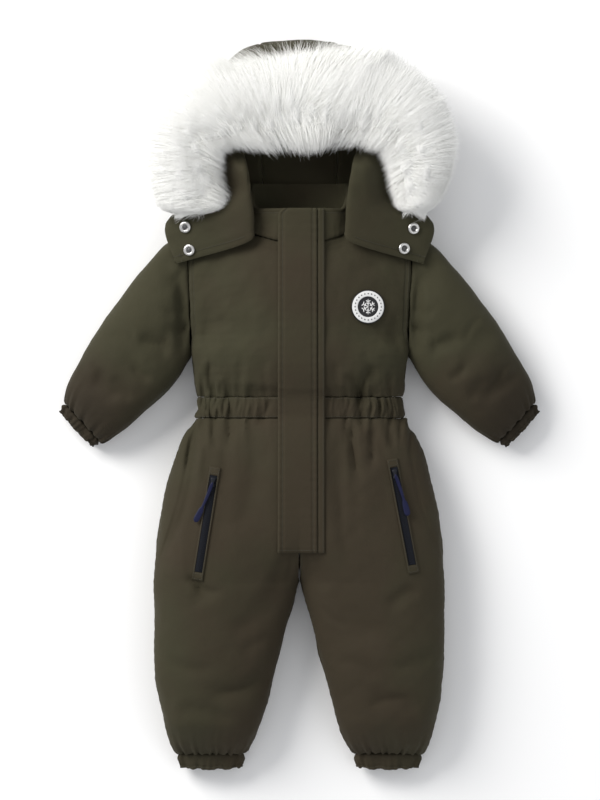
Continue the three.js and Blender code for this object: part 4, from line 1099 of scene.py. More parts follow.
@dataclass(frozen=True)
class Cloth:
    """Matt woven cloth with a fine twill, soft mottling, a low sheen, and painted sheen and shade in its
    colour.
    """

    name: str
    olive: Colour = (0.0368, 0.0342, 0.0181)
    brown: Colour = (0.0352, 0.0264, 0.0155)
    # Painted shade colour for the sleeves' lower ends
    sleeve_shade: Colour = (0.0215, 0.0158, 0.0098)
    worn: Colour = (0.0560, 0.0520, 0.0320)
    twill_turns: float = 2 * math.pi / 0.0011
    thread_turns: float = 2 * math.pi / 0.0008
    grain_share: float = 0.28
    wear_share: float = 0.42
    roughness: float = 0.80
    sheen: float = 0.05
    sheen_tint: Colour = (0.62, 0.60, 0.44)
    weave_height: float = 0.00022
    fold_height: float = 0.0016

    def material(self) -> Material:
        """Builds the finish on the panel's own UV map and object coordinates.

        The brown grows with noise and fades upwards; it fades outwards too, a painted sheen that
        makes the sides lighter and greener, and the sleeves' lower ends, past 0.2 m beside the middle, get a
        painted shade, browner and darker.

        Returns:
            The material.
        """
        shader = Shader(self.name)
        across, along = shader.split(shader.node("ShaderNodeUVMap", {"uv_map": "cloth"}))
        twill = ((across + along) * self.twill_turns).sine()
        threads = (across * self.thread_turns).sine() * (along * self.thread_turns).sine()
        slub = shader.noise(420.0, 3.0)
        weave = twill * 0.5 + threads * 0.35 + slub * 0.9
        beside, level = shader.split(shader.node("ShaderNodeTexCoord").output("Object"))
        beside = beside.absolute()
        # Painted shade: the sleeves' lower ends, past 0.2 m beside the middle, are made browner and darker in
        # colour
        painted_sleeve_shade = ((beside - 0.2) * 14.0).within() * ((0.11 - level) * 9.0).within()
        upper = ((level + 0.02) * 9.0).within() * 0.6
        # Random mottling, plus a painted sheen that makes the sides lighter and greener, and the painted
        # sleeve-end shade
        mottle_and_painted_light = shader.noise(9.0, 3.0) * 2.6 - 0.2 - beside * 3.4 + painted_sleeve_shade * 0.9 - upper
        cloudy = shader.blend(mottle_and_painted_light.within(), self.olive, self.brown)
        # Painted shade colour blended in at the sleeve ends
        cloudy = shader.blend((painted_sleeve_shade * 0.85).within(), cloudy, self.sleeve_shade)
        fine = (shader.noise(1400.0, 2.0) * 0.5 + weave * 0.08).within()
        grained = shader.blend(fine * self.grain_share, cloudy, self.worn)
        rubbed = (shader.number("edge").power(3.0) * slub * self.wear_share).within()
        woven = shader.bump(weave, 0.55, self.weave_height)
        return shader.finish(shader.principled(
            Base_Color=shader.blend(rubbed, grained, self.worn),
            Roughness=shader.noise(60.0, 2.0) * 0.12 + (self.roughness - 0.06),
            Normal=shader.bump(shader.noise(95.0, 3.0), 0.35, self.fold_height, Normal=woven),
            Sheen_Weight=self.sheen, Sheen_Roughness=0.45, Sheen_Tint=self.sheen_tint,
            Specular_IOR_Level=0.16,
        ))


@dataclass(frozen=True)
class Hair:
    """Long white synthetic hair, a little greyer and warmer at its roots."""

    name: str
    tip: Colour = (0.985, 0.985, 0.98)
    middle: Colour = (0.975, 0.975, 0.955)
    root: Colour = (0.94, 0.935, 0.90)
    roughness: float = 0.62
    translucence: float = 0.46

    def material(self) -> Material:
        """Builds the finish on the strands' own share attribute, with light let through.

        Returns:
            The material.
        """
        shader = Shader(self.name)
        stops = ((0.0, self.root), (0.35, self.middle), (1.0, self.tip))
        ramp = shader.node("ShaderNodeValToRGB", {"stops": stops}, {0: shader.number("share")})
        cloudy = shader.blend((shader.noise(26.0, 2.0) * 0.3).within(), ramp, self.middle)
        toned = shader.blend(shader.number("tone") * 0.10, cloudy, self.root)
        rough = shader.noise(500.0, 1.0) * 0.1 + (self.roughness - 0.05)
        hair = shader.principled(
            Base_Color=toned, Roughness=rough, Sheen_Weight=0.3, Specular_IOR_Level=0.3
        )
        through = shader.node("ShaderNodeBsdfTranslucent", None, {"Color": toned})
        parts = {0: self.translucence, 1: hair, 2: through}
        return shader.finish(shader.node("ShaderNodeMixShader", None, parts))


@dataclass(frozen=True)
class Metal:
    """Polished nickel with fine scratches."""

    name: str
    shade: Colour = (0.70, 0.69, 0.67)
    dull: Colour = (0.50, 0.49, 0.48)
    roughness: float = 0.24

    def material(self) -> Material:
        """Builds the finish.

        Returns:
            The material.
        """
        shader = Shader(self.name)
        scratches = shader.noise(900.0, 4.0)
        shade = shader.blend((shader.noise(300.0, 2.0) * 0.7).within(), self.shade, self.dull)
        rough = scratches * 0.18 + (self.roughness - 0.06)
        return shader.finish(shader.principled(
            Base_Color=shade, Metallic=1.0, Roughness=rough, Normal=shader.bump(scratches, 0.15, 0.0002)
        ))


@dataclass(frozen=True)
class Plain:
    """A moulded, woven or spun finish: two close tones, a grain and its roughness."""

    name: str
    low: Colour
    high: Colour
    grain: float = 700.0
    roughness: float = 0.5
    height: float = 0.0002
    specular: float = 0.4

    def material(self) -> Material:
        """Builds the finish.

        Returns:
            The material.
        """
        shader = Shader(self.name)
        grain = shader.noise(self.grain, 3.0)
        shade = shader.blend((grain * 1.6 - 0.3).within(), self.low, self.high)
        rough = shader.noise(self.grain / 4, 2.0) * 0.16 + (self.roughness - 0.08)
        return shader.finish(shader.principled(
            Base_Color=shade, Roughness=rough, Specular_IOR_Level=self.specular,
            Normal=shader.bump(grain, 0.4, self.height),
        ))


def finish(kind: type, *values: object, **named: object) -> Material:
    """A field of Finishes, whose material is built with them."""
    return field(default_factory=kind(*values, **named).material)


@dataclass(frozen=True)
class Finishes:
    """Every finish of the suit, each built once."""

    shell: Material = finish(Cloth, "olive_twill")
    cuff: Material = finish(Cloth, "olive_cuff", olive=(0.037, 0.034, 0.019), sheen=0.04)
    thread: Material = finish(
        Plain, "olive_thread", (0.036, 0.033, 0.022), (0.060, 0.054, 0.037), 2500.0, 0.7
    )
    hair: Material = finish(Hair, "white_hair")
    metal: Material = finish(Metal, "nickel")
    socket: Material = finish(Plain, "snap_socket", (0.02, 0.02, 0.02), (0.09, 0.09, 0.09), 900.0, 0.4)
    dark_rubber: Material = finish(Plain, "black_rubber", (0.006, 0.006, 0.007), (0.014, 0.014, 0.016), 800.0)
    pale_rubber: Material = finish(Plain, "white_rubber", (0.72, 0.72, 0.71), (0.82, 0.82, 0.81), 800.0)
    tape: Material = finish(
        Plain, "zip_tape", (0.004, 0.005, 0.007), (0.011, 0.012, 0.017), 1600.0, 0.75, specular=0.12
    )
    coil: Material = finish(
        Plain, "zip_coil", (0.007, 0.008, 0.010), (0.017, 0.018, 0.024), 900.0, 0.45, specular=0.16
    )
    navy: Material = finish(
        Plain, "navy_cord", (0.004, 0.005, 0.018), (0.010, 0.012, 0.052), 900.0, 0.5, specular=0.18
    )


@dataclass(frozen=True)
class Assembly:
    """A part of the suit, made on the shared surfaces with the shared finishes."""

    suit: Suit
    finishes: Finishes


@dataclass(frozen=True)
class Collar(Assembly):
    """The short collar that stands round the neck."""

    base_half: float = 69.0
    top_half: float = 65.0
    base_low: float = 8.5
    base_high: float = 80.0
    top_low: float = 9.0
    top_high: float = 79.0
    front_top: float = 255.0
    rise: float = 34.0
    rise_from: float = 0.9
    rise_to: float = 1.9
    squareness: float = 0.8
    back_shift: float = 20.0
    opening_half: float = 1.0
    stitch_in: float = 6.0

    def point(self, share: Array, angle: Array) -> Array:
        """Points of a ring with a squared oval section.

        Args:
            share: How far up the collar they are.
            angle: Angle round it, from 0 at the middle of the front.

        Returns:
            The points.
        """
        half = mix(self.base_half, self.top_half, share)
        low = mix(self.base_low, self.top_low, share)
        high = mix(self.base_high, self.top_high, share)
        x = half * squared(np.sin(angle), self.squareness)
        z = (low + high) / 2 + (high - low) / 2 * squared(np.cos(angle), self.squareness)
        turned = math.pi - np.abs(math.pi - angle)
        base = self.suit.neck_front(x) + SEAM_GAP + smooth(math.pi / 2, math.pi, turned) * self.back_shift
        top = self.front_top + self.rise * smooth(self.rise_from, self.rise_to, turned)
        return place(x, mix(base, top, share), z)

    def build(self) -> None:
        """Makes the collar with its stitched upper edge."""
        opening = math.asin((self.opening_half / self.top_half) ** (1 / self.squareness))
        seams = {
            Side.FIRST_ROW: Seam(1.6, 4.0, 0.6, 8.0, 7.0),
            Side.LAST_ROW: Seam(1.8, 3.0, 0.2, 12.0, 5.0, (self.stitch_in,)),
        }
        panel = Panel(
            "collar_stand", ("collar",), self.point, np.linspace(0, 1, 22),
            np.linspace(opening, 2 * math.pi - opening, 140), COLLAR_WALL, seams, crumple=0.4,
            crumple_size=26, seed=11, rests_on=("bodice_back_cloth",),
        ).build(self.finishes.shell)
        stitches = Stitching("collar_stitches")
        stitches.follow(panel, Side.LAST_ROW, self.stitch_in)
        stitches.build(self.finishes.thread)


@dataclass(frozen=True)
class Placket(Assembly):
    """The strip that covers the front zip, and the narrow band beside it."""

    collar: Collar
    right: float = -28.0
    left: float = 23.4
    top: float = 255.0
    bottom: float = -190.5
    corner: float = 7.0
    band_right: float = 24.0
    band_left: float = 32.5
    band_wall: float = 2.0
    bed_reach: float = 7.0
    bed_blend: float = 1.6
    bed_bridge: float = 0.6
    stitch_in: float = 6.0
    end_stitch_in: float = 4.0
    band_stitch_in: float = 2.0

    def bed(self, x: Array, y: Array) -> Array:
        """The height of what it lies on, bridging short dips such as the waist.

        It is a soft maximum of the highest near level and the mean of the wider ones.

        Args:
            x: Places across.
            y: Places along.

        Returns:
            The height at each place.
        """
        steps = self.bed_reach * np.array([-5.0, -3.5, -2.0, -1.0, 0.0, 1.0, 2.0, 3.5, 5.0])
        heights = np.array([self.bed_at(x, y + step) for step in steps])
        near, wide = heights[3:6].max(axis=0), heights.mean(axis=0) + self.bed_bridge
        return np.logaddexp(near / self.bed_blend, wide / self.bed_blend) * self.bed_blend - self.bed_bridge

    def bed_at(self, x: Array, y: Array) -> Array:
        """The height of the bodice, casing and trousers, and above the neck of the collar.

        Args:
            x: Places across.
            y: Places along.

        Returns:
            The height at each place.
        """
        start = self.suit.neck_front(x) + SEAM_GAP
        share = np.clip((y - start) / (self.collar.front_top - start), 0, 1)
        half = mix(self.collar.base_half, self.collar.top_half, share)
        sine = np.clip(np.abs(x) / half, 0, 1) ** (1 / self.collar.squareness)
        above = self.collar.point(share, np.arcsin(sine))[..., 2]
        return np.where(y <= start, self.suit.front_height(x, y), above)

    def strip(self, share: Array, y: Array, right: float, left: float, wall: float) -> Array:
        """The outer surface of a strip, whose upper corner is cut off on the cover.

        Args:
            share: Share of the way across.
            y: Levels.
            right: Where its right edge lies.
            left: Where its left edge lies.
            wall: How thick it is.

        Returns:
            The points.
        """
        cut = np.maximum(0, self.corner - (self.top - y)) * (right == self.right)
        x = mix(right + cut, left, share)
        return place(x, y, self.bed(x, y) + PLACKET_LIFT + wall)

    def build(self) -> None:
        """Makes both strips with their stitches."""
        levels, below = np.linspace(self.bottom, self.top, 200), np.array([0.0, 0.0, -400.0])
        edge = Seam(1.8, 2.4, 0.35, 11.0, 7.0, (self.stitch_in,), 1.3, 1.3)
        seams = {
            Side.FIRST_ROW: edge, Side.LAST_ROW: edge,
            Side.FIRST_COLUMN: Seam(1.6, 2.2, 0.0, 9.0, 5.0, (self.end_stitch_in,), 0.6, 1.3),
            Side.LAST_COLUMN: Seam(1.6, 2.2, 0.0),
        }
        cover = Panel(
            "placket_cover", ("placket",),
            partial(self.strip, right=self.right, left=self.left, wall=PLACKET_WALL),
            np.linspace(0, 1, 32), levels, PLACKET_WALL, seams, crumple=0.16, crumple_size=48, seed=5,
            heart=below, rests_on=("bodice_front_right_cloth",),
        ).build(self.finishes.shell)
        band = Panel(
            "placket_side_band", ("placket_band",),
            partial(self.strip, right=self.band_right, left=self.band_left, wall=self.band_wall),
            np.linspace(0, 1, 9), levels, self.band_wall, {side: Seam(1.0, 1.8, 0.0) for side in Side},
            crumple=0.08, seed=6, heart=below, rests_on=("bodice_front_left_cloth",),
        ).build(self.finishes.shell)
        stitches = Stitching("placket_stitches")
        stitches.follow(cover, Side.FIRST_ROW, self.stitch_in)
        stitches.follow(cover, Side.LAST_ROW, self.stitch_in)
        stitches.follow(cover, Side.FIRST_COLUMN, self.end_stitch_in)
        stitches.follow(band, Side.LAST_ROW, self.band_stitch_in)
        stitches.build(self.finishes.thread)


@dataclass(frozen=True)
class Pocket:
    """One zipped pocket, from the top of its zip to the bottom, and where its pull ends."""

    name: str
    top: tuple[float, float]
    bottom: tuple[float, float]
    pull: tuple[float, float]


POCKETS = (
    Pocket("right", (-110.5, -90.0), (-130.4, -215.0), (-134.6, -150.0)),
    Pocket("left", (121.6, -79.6), (145.5, -205.7), (140.0, -142.0)),
)
PATCH_X, PATCH_Y, PATCH_RADIUS = 88.5, 127.4, 21.8

# Each pleat's length across and its height
GATHER_BANDS = ((11.0, 1.3), (7.3, 0.9), (17.0, 1.5), (29.0, 1.3))


def calm(points: Array) -> Array:
    """How freely the cloth crumples: not under the placket, the patch and the pockets.

    Args:
        points: Points of the front.

    Returns:
        A share from 0 to 1 for each point.
    """
    x, y = points[..., 0], points[..., 1]
    free = smooth(27, 44, np.abs(x + 2))
    free = free * smooth(PATCH_RADIUS, PATCH_RADIUS + 14, np.hypot(x - PATCH_X, y - PATCH_Y))
    for pocket in POCKETS:
        way = np.array(pocket.bottom) - np.array(pocket.top)
        share = ((x - pocket.top[0]) * way[0] + (y - pocket.top[1]) * way[1]) / (way @ way)
        share = np.clip(share, -0.08, 1.08)
        away = np.hypot(x - pocket.top[0] - share * way[0], y - pocket.top[1] - share * way[1])
        free = free * smooth(9, 22, away)
    return np.where(points[..., 2] > 30, free, 1.0)


def waist_gathers(points: Array, from_y: float, reach: float) -> Array:
    """Pleats that the elastic draws into the cloth, fading out away from it.

    They are sines across the suit of a few lengths, denser and deeper at the sides.

    Args:
        points: Points of the cloth.
        from_y: Where the elastic's edge lies.
        reach: How far the pleats run.

    Returns:
        How far each point is raised.
    """
    x, away = points[..., 0], np.abs(points[..., 1] - from_y)
    raised = np.zeros_like(x)
    for order, (length, height) in enumerate(GATHER_BANDS):
        lean = x + 0.12 * away * math.sin(order * 2.1) + 4 * np.sin(x / 37 + order)
        raised = raised + height * np.sin(2 * math.pi * lean / length + order * 1.3)
    side = 0.45 + 0.55 * smooth(45, 120, np.abs(x))
    return raised * side * np.exp(-away / reach)


@dataclass(frozen=True)
class Bodice(Assembly):
    """The front and back of the bodice, up to the neck, shoulders and armholes."""

    rows: int = 78
    columns: int = 92
    back_rows: int = 84
    back_columns: int = 52
    armhole_stitch: float = 7.0
    stitch_apart: float = 3.5
    bottom: float = CASING_TOP_Y + HALF_GAP
    last_angle: float = math.pi / 2 - 0.0012

    def top_edge(self, angle: Array, neck: Callable[[Array], Array]) -> Array:
        """The neckline or the shoulder seam over an angle round the tube."""
        x = SHOULDER_END_X * np.cos(angle)
        return np.where(x < NECK_SIDE_X, neck(x), self.suit.shoulder_line(x)) - HALF_GAP

    def front(self, angle: Array, share: Array, sign: float) -> Array:
        """Points of one front half, a share of the way up from the casing."""
        y = mix(self.bottom, self.top_edge(angle, self.suit.neck_front), share)
        return self.suit.body(sign, angle, y)

    def back(self, angle: Array, share: Array) -> Array:
        """Points of the back, from the right side seam round to the left.

        Args:
            angle: Angles from 0 to pi.
            share: Share of the way up from the casing.

        Returns:
            The points.
        """
        right = angle < math.pi / 2
        turn = np.where(right, angle, math.pi - angle)
        y = mix(self.bottom, self.top_edge(turn, self.suit.neck_back), share)
        return self.suit.body(np.where(right, -1.0, 1.0), -turn, y)

    def build_front(self, name: str, sign: float, stitches: Stitching) -> None:
        """Makes one front half, with the double stitching beside its armhole.

        Args:
            name: Its side.
            sign: -1 for the right, 1 for the left.
            stitches: Where its stitches go.
        """
        seams = {
            Side.FIRST_ROW: Seam(1.8, 6.0, 0.3, 11.0, 9.0, (self.armhole_stitch,), 0.9, 1.6),
            Side.FIRST_COLUMN: Seam(1.5, 4.0, 0.0),
            Side.LAST_COLUMN: Seam(1.6, 5.0, 0.5, 8.0, 9.0),
        }
        panel = Panel(
            f"bodice_front_{name}_cloth", (f"bodice_front_{name}",), partial(self.front, sign=sign),
            mix(FRONT_SEAM_ANGLE, self.last_angle, crowded(self.rows)), np.linspace(0, 1, self.columns),
            PANEL_WALL, seams, crumple=0.55, calm=calm, seed=21 + int(sign),
            waves=lambda u, v, points: waist_gathers(points, CASING_TOP_Y, 15.0),
            rests_on=("bodice_back_cloth",),
        ).build(self.finishes.shell)
        for distance in (self.armhole_stitch, self.armhole_stitch - self.stitch_apart):
            stitches.follow(panel, Side.FIRST_ROW, distance, lambda points: points[:, 1] > ARMPIT_Y)

    def build(self) -> None:
        """Makes the three panels and the stitching."""
        stitches = Stitching("bodice_stitches")
        for name, sign in HALVES:
            self.build_front(name, sign, stitches)
        stitches.build(self.finishes.thread)
        Panel(
            "bodice_back_cloth", ("bodice_back",), self.back,
            mix(BACK_SEAM_ANGLE, math.pi - BACK_SEAM_ANGLE, crowded_ends(self.back_rows)),
            np.linspace(0, 1, self.back_columns), PANEL_WALL,
            {side: Seam(1.2, 5.0, 0.3, 10.0, 9.0) for side in Side}, crumple=0.3, seed=23,
        ).build(self.finishes.shell)


@dataclass(frozen=True)
class Casing(Assembly):
    """The gathered casing of the waist elastic."""

    bands: tuple[tuple[float, float], ...] = ((8.6, 1.5), (5.4, 0.8), (13.7, 1.3))
    stitch_in: float = 2.2
    rows: int = 150
    back_rows: int = 160

    def gathers(self, u: Array, v: Array, points: Array) -> Array:
        """Small pleats of uneven width across the whole casing, shallower at the front.

        Args:
            u: Rows of the grid, which aren't needed.
            v: Columns of the grid, which aren't needed.
            points: Points of the cloth.

        Returns:
            How far each point is raised.
        """
        x, y = points[..., 0], points[..., 1]
        raised = np.zeros_like(x)
        for order, (length, height) in enumerate(self.bands):
            lean = x + 1.5 * np.sin(y / 6 + order + x / 23) + 3 * np.sin(x / 29 + order)
            raised = raised + height * np.sin(2 * math.pi * lean / length + order)
        side = 0.35 + 0.65 * smooth(50, 118, np.abs(x))
        share = np.clip((y - CASING_BOTTOM_Y) / (CASING_TOP_Y - CASING_BOTTOM_Y), 0, 1)
        bulge = np.sin(math.pi * share)
        return raised * side * (0.55 + 0.45 * bulge) + 0.9 * bulge - 0.5

    def back(self, angle: Array, y: Array) -> Array:
        """Points of the back, from the right side seam round to the left."""
        right = angle < math.pi / 2
        turn = np.where(right, -angle, angle - math.pi)
        return self.suit.body(np.where(right, -1.0, 1.0), turn, y)

    def build(self) -> None:
        """Makes the three stretches of casing and their stitches."""
        levels = np.linspace(CASING_BOTTOM_Y + HALF_GAP, CASING_TOP_Y - HALF_GAP, 20)
        angles = mix(FRONT_SEAM_ANGLE, float(self.suit.middle_angle(np.array(0.0))), crowded(self.rows))
        seams = {
            Side.FIRST_COLUMN: Seam(1.6, 3.0, 0.0), Side.LAST_COLUMN: Seam(1.6, 3.0, 0.0),
            Side.FIRST_ROW: Seam(1.4, 4.0, 0.0),
        }
        stitches = Stitching("casing_stitches")
        for name, sign in HALVES:
            panel = Panel(
                f"waist_casing_{name}_cloth", (f"waist_casing_front_{name}",),
                partial(self.suit.body, sign), angles, levels, CASING_WALL, seams, crumple=0.2,
                waves=self.gathers, calm=calm, seed=31 + int(sign), held="gathered",
                rests_on=("waist_casing_back_cloth",),
            ).build(self.finishes.shell)
            stitches.follow(panel, Side.FIRST_COLUMN, self.stitch_in)
            stitches.follow(panel, Side.LAST_COLUMN, self.stitch_in)
        Panel(
            "waist_casing_back_cloth", ("waist_casing_back",), self.back,
            mix(BACK_SEAM_ANGLE, math.pi - BACK_SEAM_ANGLE, crowded_ends(self.back_rows)), levels[::2],
            CASING_WALL, seams, waves=self.gathers, held="gathered", seed=33,
        ).build(self.finishes.shell)
        stitches.build(self.finishes.thread)


@dataclass(frozen=True)
class Trousers(Assembly):
    """The front and back of each trouser half, joined along the side and the inseam."""

    columns: int = 158
    rows: int = 84
    back_columns: int = 84
    back_rows: int = 44
    cuff_pleats: float = 10.5
    ankle_half: float = 45.0
    seam_stitch: float = 3.0
    placket_end: float = -192.0

    def gathers(self, u: Array, v: Array, points: Array) -> Array:
        """Pleats that the ankle elastic draws in, fading upwards, and those of the waist.

        Args:
            u: Rows of the grid, which aren't needed.
            v: Columns of the grid, which aren't needed.
            points: Points of the cloth.

        Returns:
            How far each point is raised.
        """
        y = points[..., 1]
        outer, inner = BODY.reads(y, "outer inner")
        middle = (outer + inner) / 2
        fan = (np.abs(points[..., 0]) - middle) * self.ankle_half / np.maximum(outer - middle, 1)
        turns = 2 * math.pi * fan / self.cuff_pleats
        pleats = np.sin(turns + 2 * np.sin(fan / 17)) + 0.6 * np.sin(turns / 0.61 + 1)
        ankle = 1.9 * pleats * np.exp(-(y - ANKLE_SEAM_Y) / 13.0)
        return ankle + waist_gathers(points, CASING_BOTTOM_Y, 24.0)

    def surface(self, share: Array, y: Array, sign: float, turn: float) -> Array:
        """Points of one panel, from the side seam to the middle or the inseam.

        Args:
            share: Share of the way round.
            y: Levels.
            sign: -1 for the right, 1 for the left.
            turn: 1 for the front, -1 for the back.

        Returns:
            The points.
        """
        first = FRONT_SEAM_ANGLE if turn > 0 else BACK_SEAM_ANGLE
        last = self.suit.middle_angle(y) - first
        return self.suit.body(sign, turn * mix(first, last, share), y)

    def build(self) -> None:
        """Makes the four panels and the centre seam's stitches."""
        top, bottom = CASING_BOTTOM_Y - HALF_GAP, ANKLE_SEAM_Y + HALF_GAP
        faces = (("front", 1.0, self.rows, self.columns), ("back", -1.0, self.back_rows, self.back_columns))
        seams = {
            Side.FIRST_ROW: Seam(1.8, 6.0, 0.35, 12.0, 10.0),
            Side.LAST_ROW: Seam(1.6, 6.0, 0.35, 11.0, 10.0),
            Side.FIRST_COLUMN: Seam(2.4, 8.0, 0.0), Side.LAST_COLUMN: Seam(1.8, 5.0, 0.0),
        }
        stitches = Stitching("trouser_stitches")
        for name, sign in HALVES:
            for face, turn, rows, columns in faces:
                panel = Panel(
                    f"trouser_{face}_{name}_cloth", (f"trouser_{face}_{name}",),
                    partial(self.surface, sign=sign, turn=turn), crowded_ends(rows),
                    np.linspace(bottom, top, columns), PANEL_WALL, seams, crumple=0.65, crumple_size=66,
                    waves=self.gathers, calm=calm, seed=41 + 2 * int(sign) + int(turn),
                    rests_on=("floor",) if turn < 0 else (f"trouser_back_{name}_cloth",),
                ).build(self.finishes.shell)
                if turn > 0 and sign > 0:
                    stitches.follow(panel, Side.LAST_ROW, self.seam_stitch, self.below_placket)
        stitches.build(self.finishes.thread)

    def below_placket(self, points: Array) -> Array:
        """Which points lie between the placket's end and the crotch."""
        return (points[:, 1] < self.placket_end) & (points[:, 1] > CROTCH_Y)


@dataclass(frozen=True)
class CuffSize:
    """An elastic cuff: its depth, and its half width and height from seam to hem."""

    depth: float
    seam_half: float
    waist_half: float
    hem_half: float
    seam_top: float
    hem_top: float


@dataclass(frozen=True)
class Limb:
    """Where a cuff sits: the middle of a limb's end, the way across it and the way out."""

    name: str
    middle: Array
    across: Array
    out: Array
    size: CuffSize


@dataclass(frozen=True)
class Cuffs(Assembly):
    """The elastic cuffs at the wrists and the ankles."""

    ankle: CuffSize = CuffSize(20.0, 44.5, 41.0, 40.0, 34.0, 30.0)
    wrist: CuffSize = CuffSize(13.0, 35.0, 31.0, 31.0, 33.0, 29.0)
    waist: float = 0.55
    pleats: int = 27
    sides: int = 180
    groove: float = 5.0
    stitch_in: float = 4.0

    def surface(self, v: Array, angle: Array, limb: Limb, sign: float) -> Array:
        """A short tube out from a limb's end, with a slightly ragged hem.

        Args:
            v: Share of the way down the cuff, from inside the limb's end.
            angle: Angles round it.
            limb: The limb.
            sign: -1 for the right, 1 for the left.

        Returns:
            The points.
        """
        size = limb.size
        rows = ((0, size.seam_half - 1), (0.25, size.seam_half), (self.waist, size.waist_half + 1.5),
                (0.85, size.hem_half + 1.5), (1, size.hem_half - 1.5))
        offset = Table("v half", rows).read("half", v) * np.cos(angle)
        top = mix(size.seam_top, size.hem_top, np.clip(v, 0, 1))
        level = top / 2 * (1 + squared(np.sin(angle), SIDE_ROUNDNESS))
        ragged = 0.03 * np.sin(9 * angle + 1) + 0.02 * np.sin(16 * angle)
        down = size.depth * v * (0.97 + ragged * v - 0.10 * v * np.cos(angle) ** 4)
        x, y = (limb.middle[k] + limb.across[k] * offset + limb.out[k] * down for k in (0, 1))
        return place(sign * x, y, level)

    def pleat(self, v: Array, angle: Array, points: Array) -> Array:
        """Tight pleats of uneven depth, deepest at the elastic and fluted at the hem.

        Args:
            v: Share of the way down the cuff.
            angle: Angles round it.
            points: Points of the cloth, which aren't needed.

        Returns:
            How far each point is raised.
        """
        wave = np.sin(self.pleats * angle + 2.6 * np.sin(3 * angle + 0.7) + 1.2 * v)
        second = np.sin(13 * angle + 2.6 * np.sin(2 * angle) + 1 - 0.9 * v)
        third = np.sin(5 * angle + 1.5 * np.sin(angle))
        return (wave * (0.6 + 0.4 * third) + 1.1 * second) * (0.6 + 0.55 * v) + 0.4 * third - 0.9

    def limbs(self) -> tuple[Limb, Limb]:
        """The ends of a sleeve and of a trouser leg.

        Returns:
            The wrist and the ankle.
        """
        upper = np.array([SLEEVE.column("upper_x")[-1], SLEEVE.column("upper_y")[-1]])
        under = np.array([SLEEVE.column("under_x")[-1], SLEEVE.column("under_y")[-1]])
        across = unit(upper - under)
        out = np.array([across[1], -across[0]])
        outer, inner = BODY.reads(ANKLE_SEAM_Y, "outer inner")
        foot = np.array([float(outer + inner) / 2, ANKLE_SEAM_Y - HALF_GAP])
        return (
            Limb("wrist", (upper + under) / 2 + out * SEAM_GAP, across, out, self.wrist),
            Limb("ankle", foot, np.array([1.0, 0.0]), np.array([0.0, -1.0]), self.ankle),
        )

    def build(self) -> None:
        """Makes the four cuffs and the stitched line of their elastic."""
        stitches = Stitching("cuff_stitches")
        seams = {
            Side.FIRST_ROW: Seam(2.2, 5.0, 0.0),
            Side.LAST_ROW: Seam(1.9, 3.6, 0.0, grooves=(self.groove,), groove_depth=1.2),
        }
        for name, sign in HALVES:
            for limb in self.limbs():
                panel = Panel(
                    f"{limb.name}_cuff_{name}_cloth", (f"{limb.name}_cuff_{name}",),
                    partial(self.surface, limb=limb, sign=sign), np.linspace(-0.14, 1, 14),
                    around(self.sides), CUFF_WALL, seams, True, crumple=0.15,
                    waves=self.pleat, held="gathered", seed=51,
                ).build(self.finishes.cuff, "cuff")
                stitches.follow(panel, Side.LAST_ROW, self.stitch_in)
        stitches.build(self.finishes.thread)


@dataclass(frozen=True)
class Sleeves(Assembly):
    """The two sleeves, each a tube from the armhole to the wrist."""

    rows: int = 88
    columns: int = 100
    start: float = 0.002

    def angles(self) -> Array:
        """Angles round the sleeve, closer together at its two edges."""
        half = crowded_ends(self.columns // 2 + 1)[:-1]
        upper = (half + np.linspace(0, 1, len(half) + 1)[:-1]) / 2
        return math.pi * np.concatenate((upper, 1 + half))

    def gathers(self, s: Array, angle: Array, points: Array) -> Array:
        """Pleats near the wrist's elastic, fading up the sleeve."""
        pleats = np.sin(15 * angle + 2 * np.sin(2 * angle)) + 0.7 * np.sin(23 * angle + 1) - 0.6
        return 1.6 * pleats * np.exp(-(1 - s) * 17.0)

    def build(self) -> None:
        """Makes both sleeves."""
        seams = {Side.FIRST_ROW: Seam(1.6, 6.0, 0.35, 11.0, 11.0), Side.LAST_ROW: Seam(2.8, 9.0, 0.0)}
        for name, sign in HALVES:
            Panel(
                f"sleeve_{name}_cloth", (f"sleeve_{name}",), partial(self.suit.sleeve, sign),
                np.linspace(self.start, 1, self.rows), self.angles(), PANEL_WALL, seams, True,
                crumple=0.6, crumple_size=70, waves=self.gathers, seed=61 + int(sign),
            ).build(self.finishes.shell)


# Rows up from the neck; the columns are the centre, seam, low, high, roll and rim
HOOD_ROWS = (
    ((0, 240.6, 3), (48, 240.2, 3), (84, 246, 14), (96, 243, 46), (62, 214, 84), (160, 183, 62)),
    ((0, 285, 3), (48, 285, 3), (95, 282, 10), (110, 264, 46), (65, 262, 88), (174, 230, 60)),
    ((0, 325, 3), (50, 325, 3), (106, 318, 9), (126, 302, 48), (68, 292, 93), (154, 262, 77)),
    ((0, 362, 3), (50, 362, 3.2), (113, 352, 11), (136, 338, 52), (76, 326, 97), (158, 312, 89)),
    ((0, 400, 4.5), (51, 397, 5), (112, 386, 15), (137, 368, 60), (102, 352, 101), (146, 354, 97)),
    ((0, 436, 13), (52, 431, 13.5), (104, 417, 23), (124, 397, 68), (110, 377, 103), (124, 380, 104)),
    ((0, 462, 30), (52, 457, 30), (92, 442, 39), (104, 416, 80), (95, 393, 104), (97, 394, 106)),
    ((0, 471, 52), (51, 466, 52), (77, 453, 63), (84, 427, 92), (78, 403, 105), (78, 401, 107)),
    ((0, 452, 84), (51, 447, 84), (65, 439, 90), (72, 423, 99), (70, 409, 104), (70, 402, 106)),
    ((0, 405, 104), (50, 404, 104), (53, 403.7, 104), (56, 403.3, 104), (59, 403, 104), (62, 402.7, 104)),
)


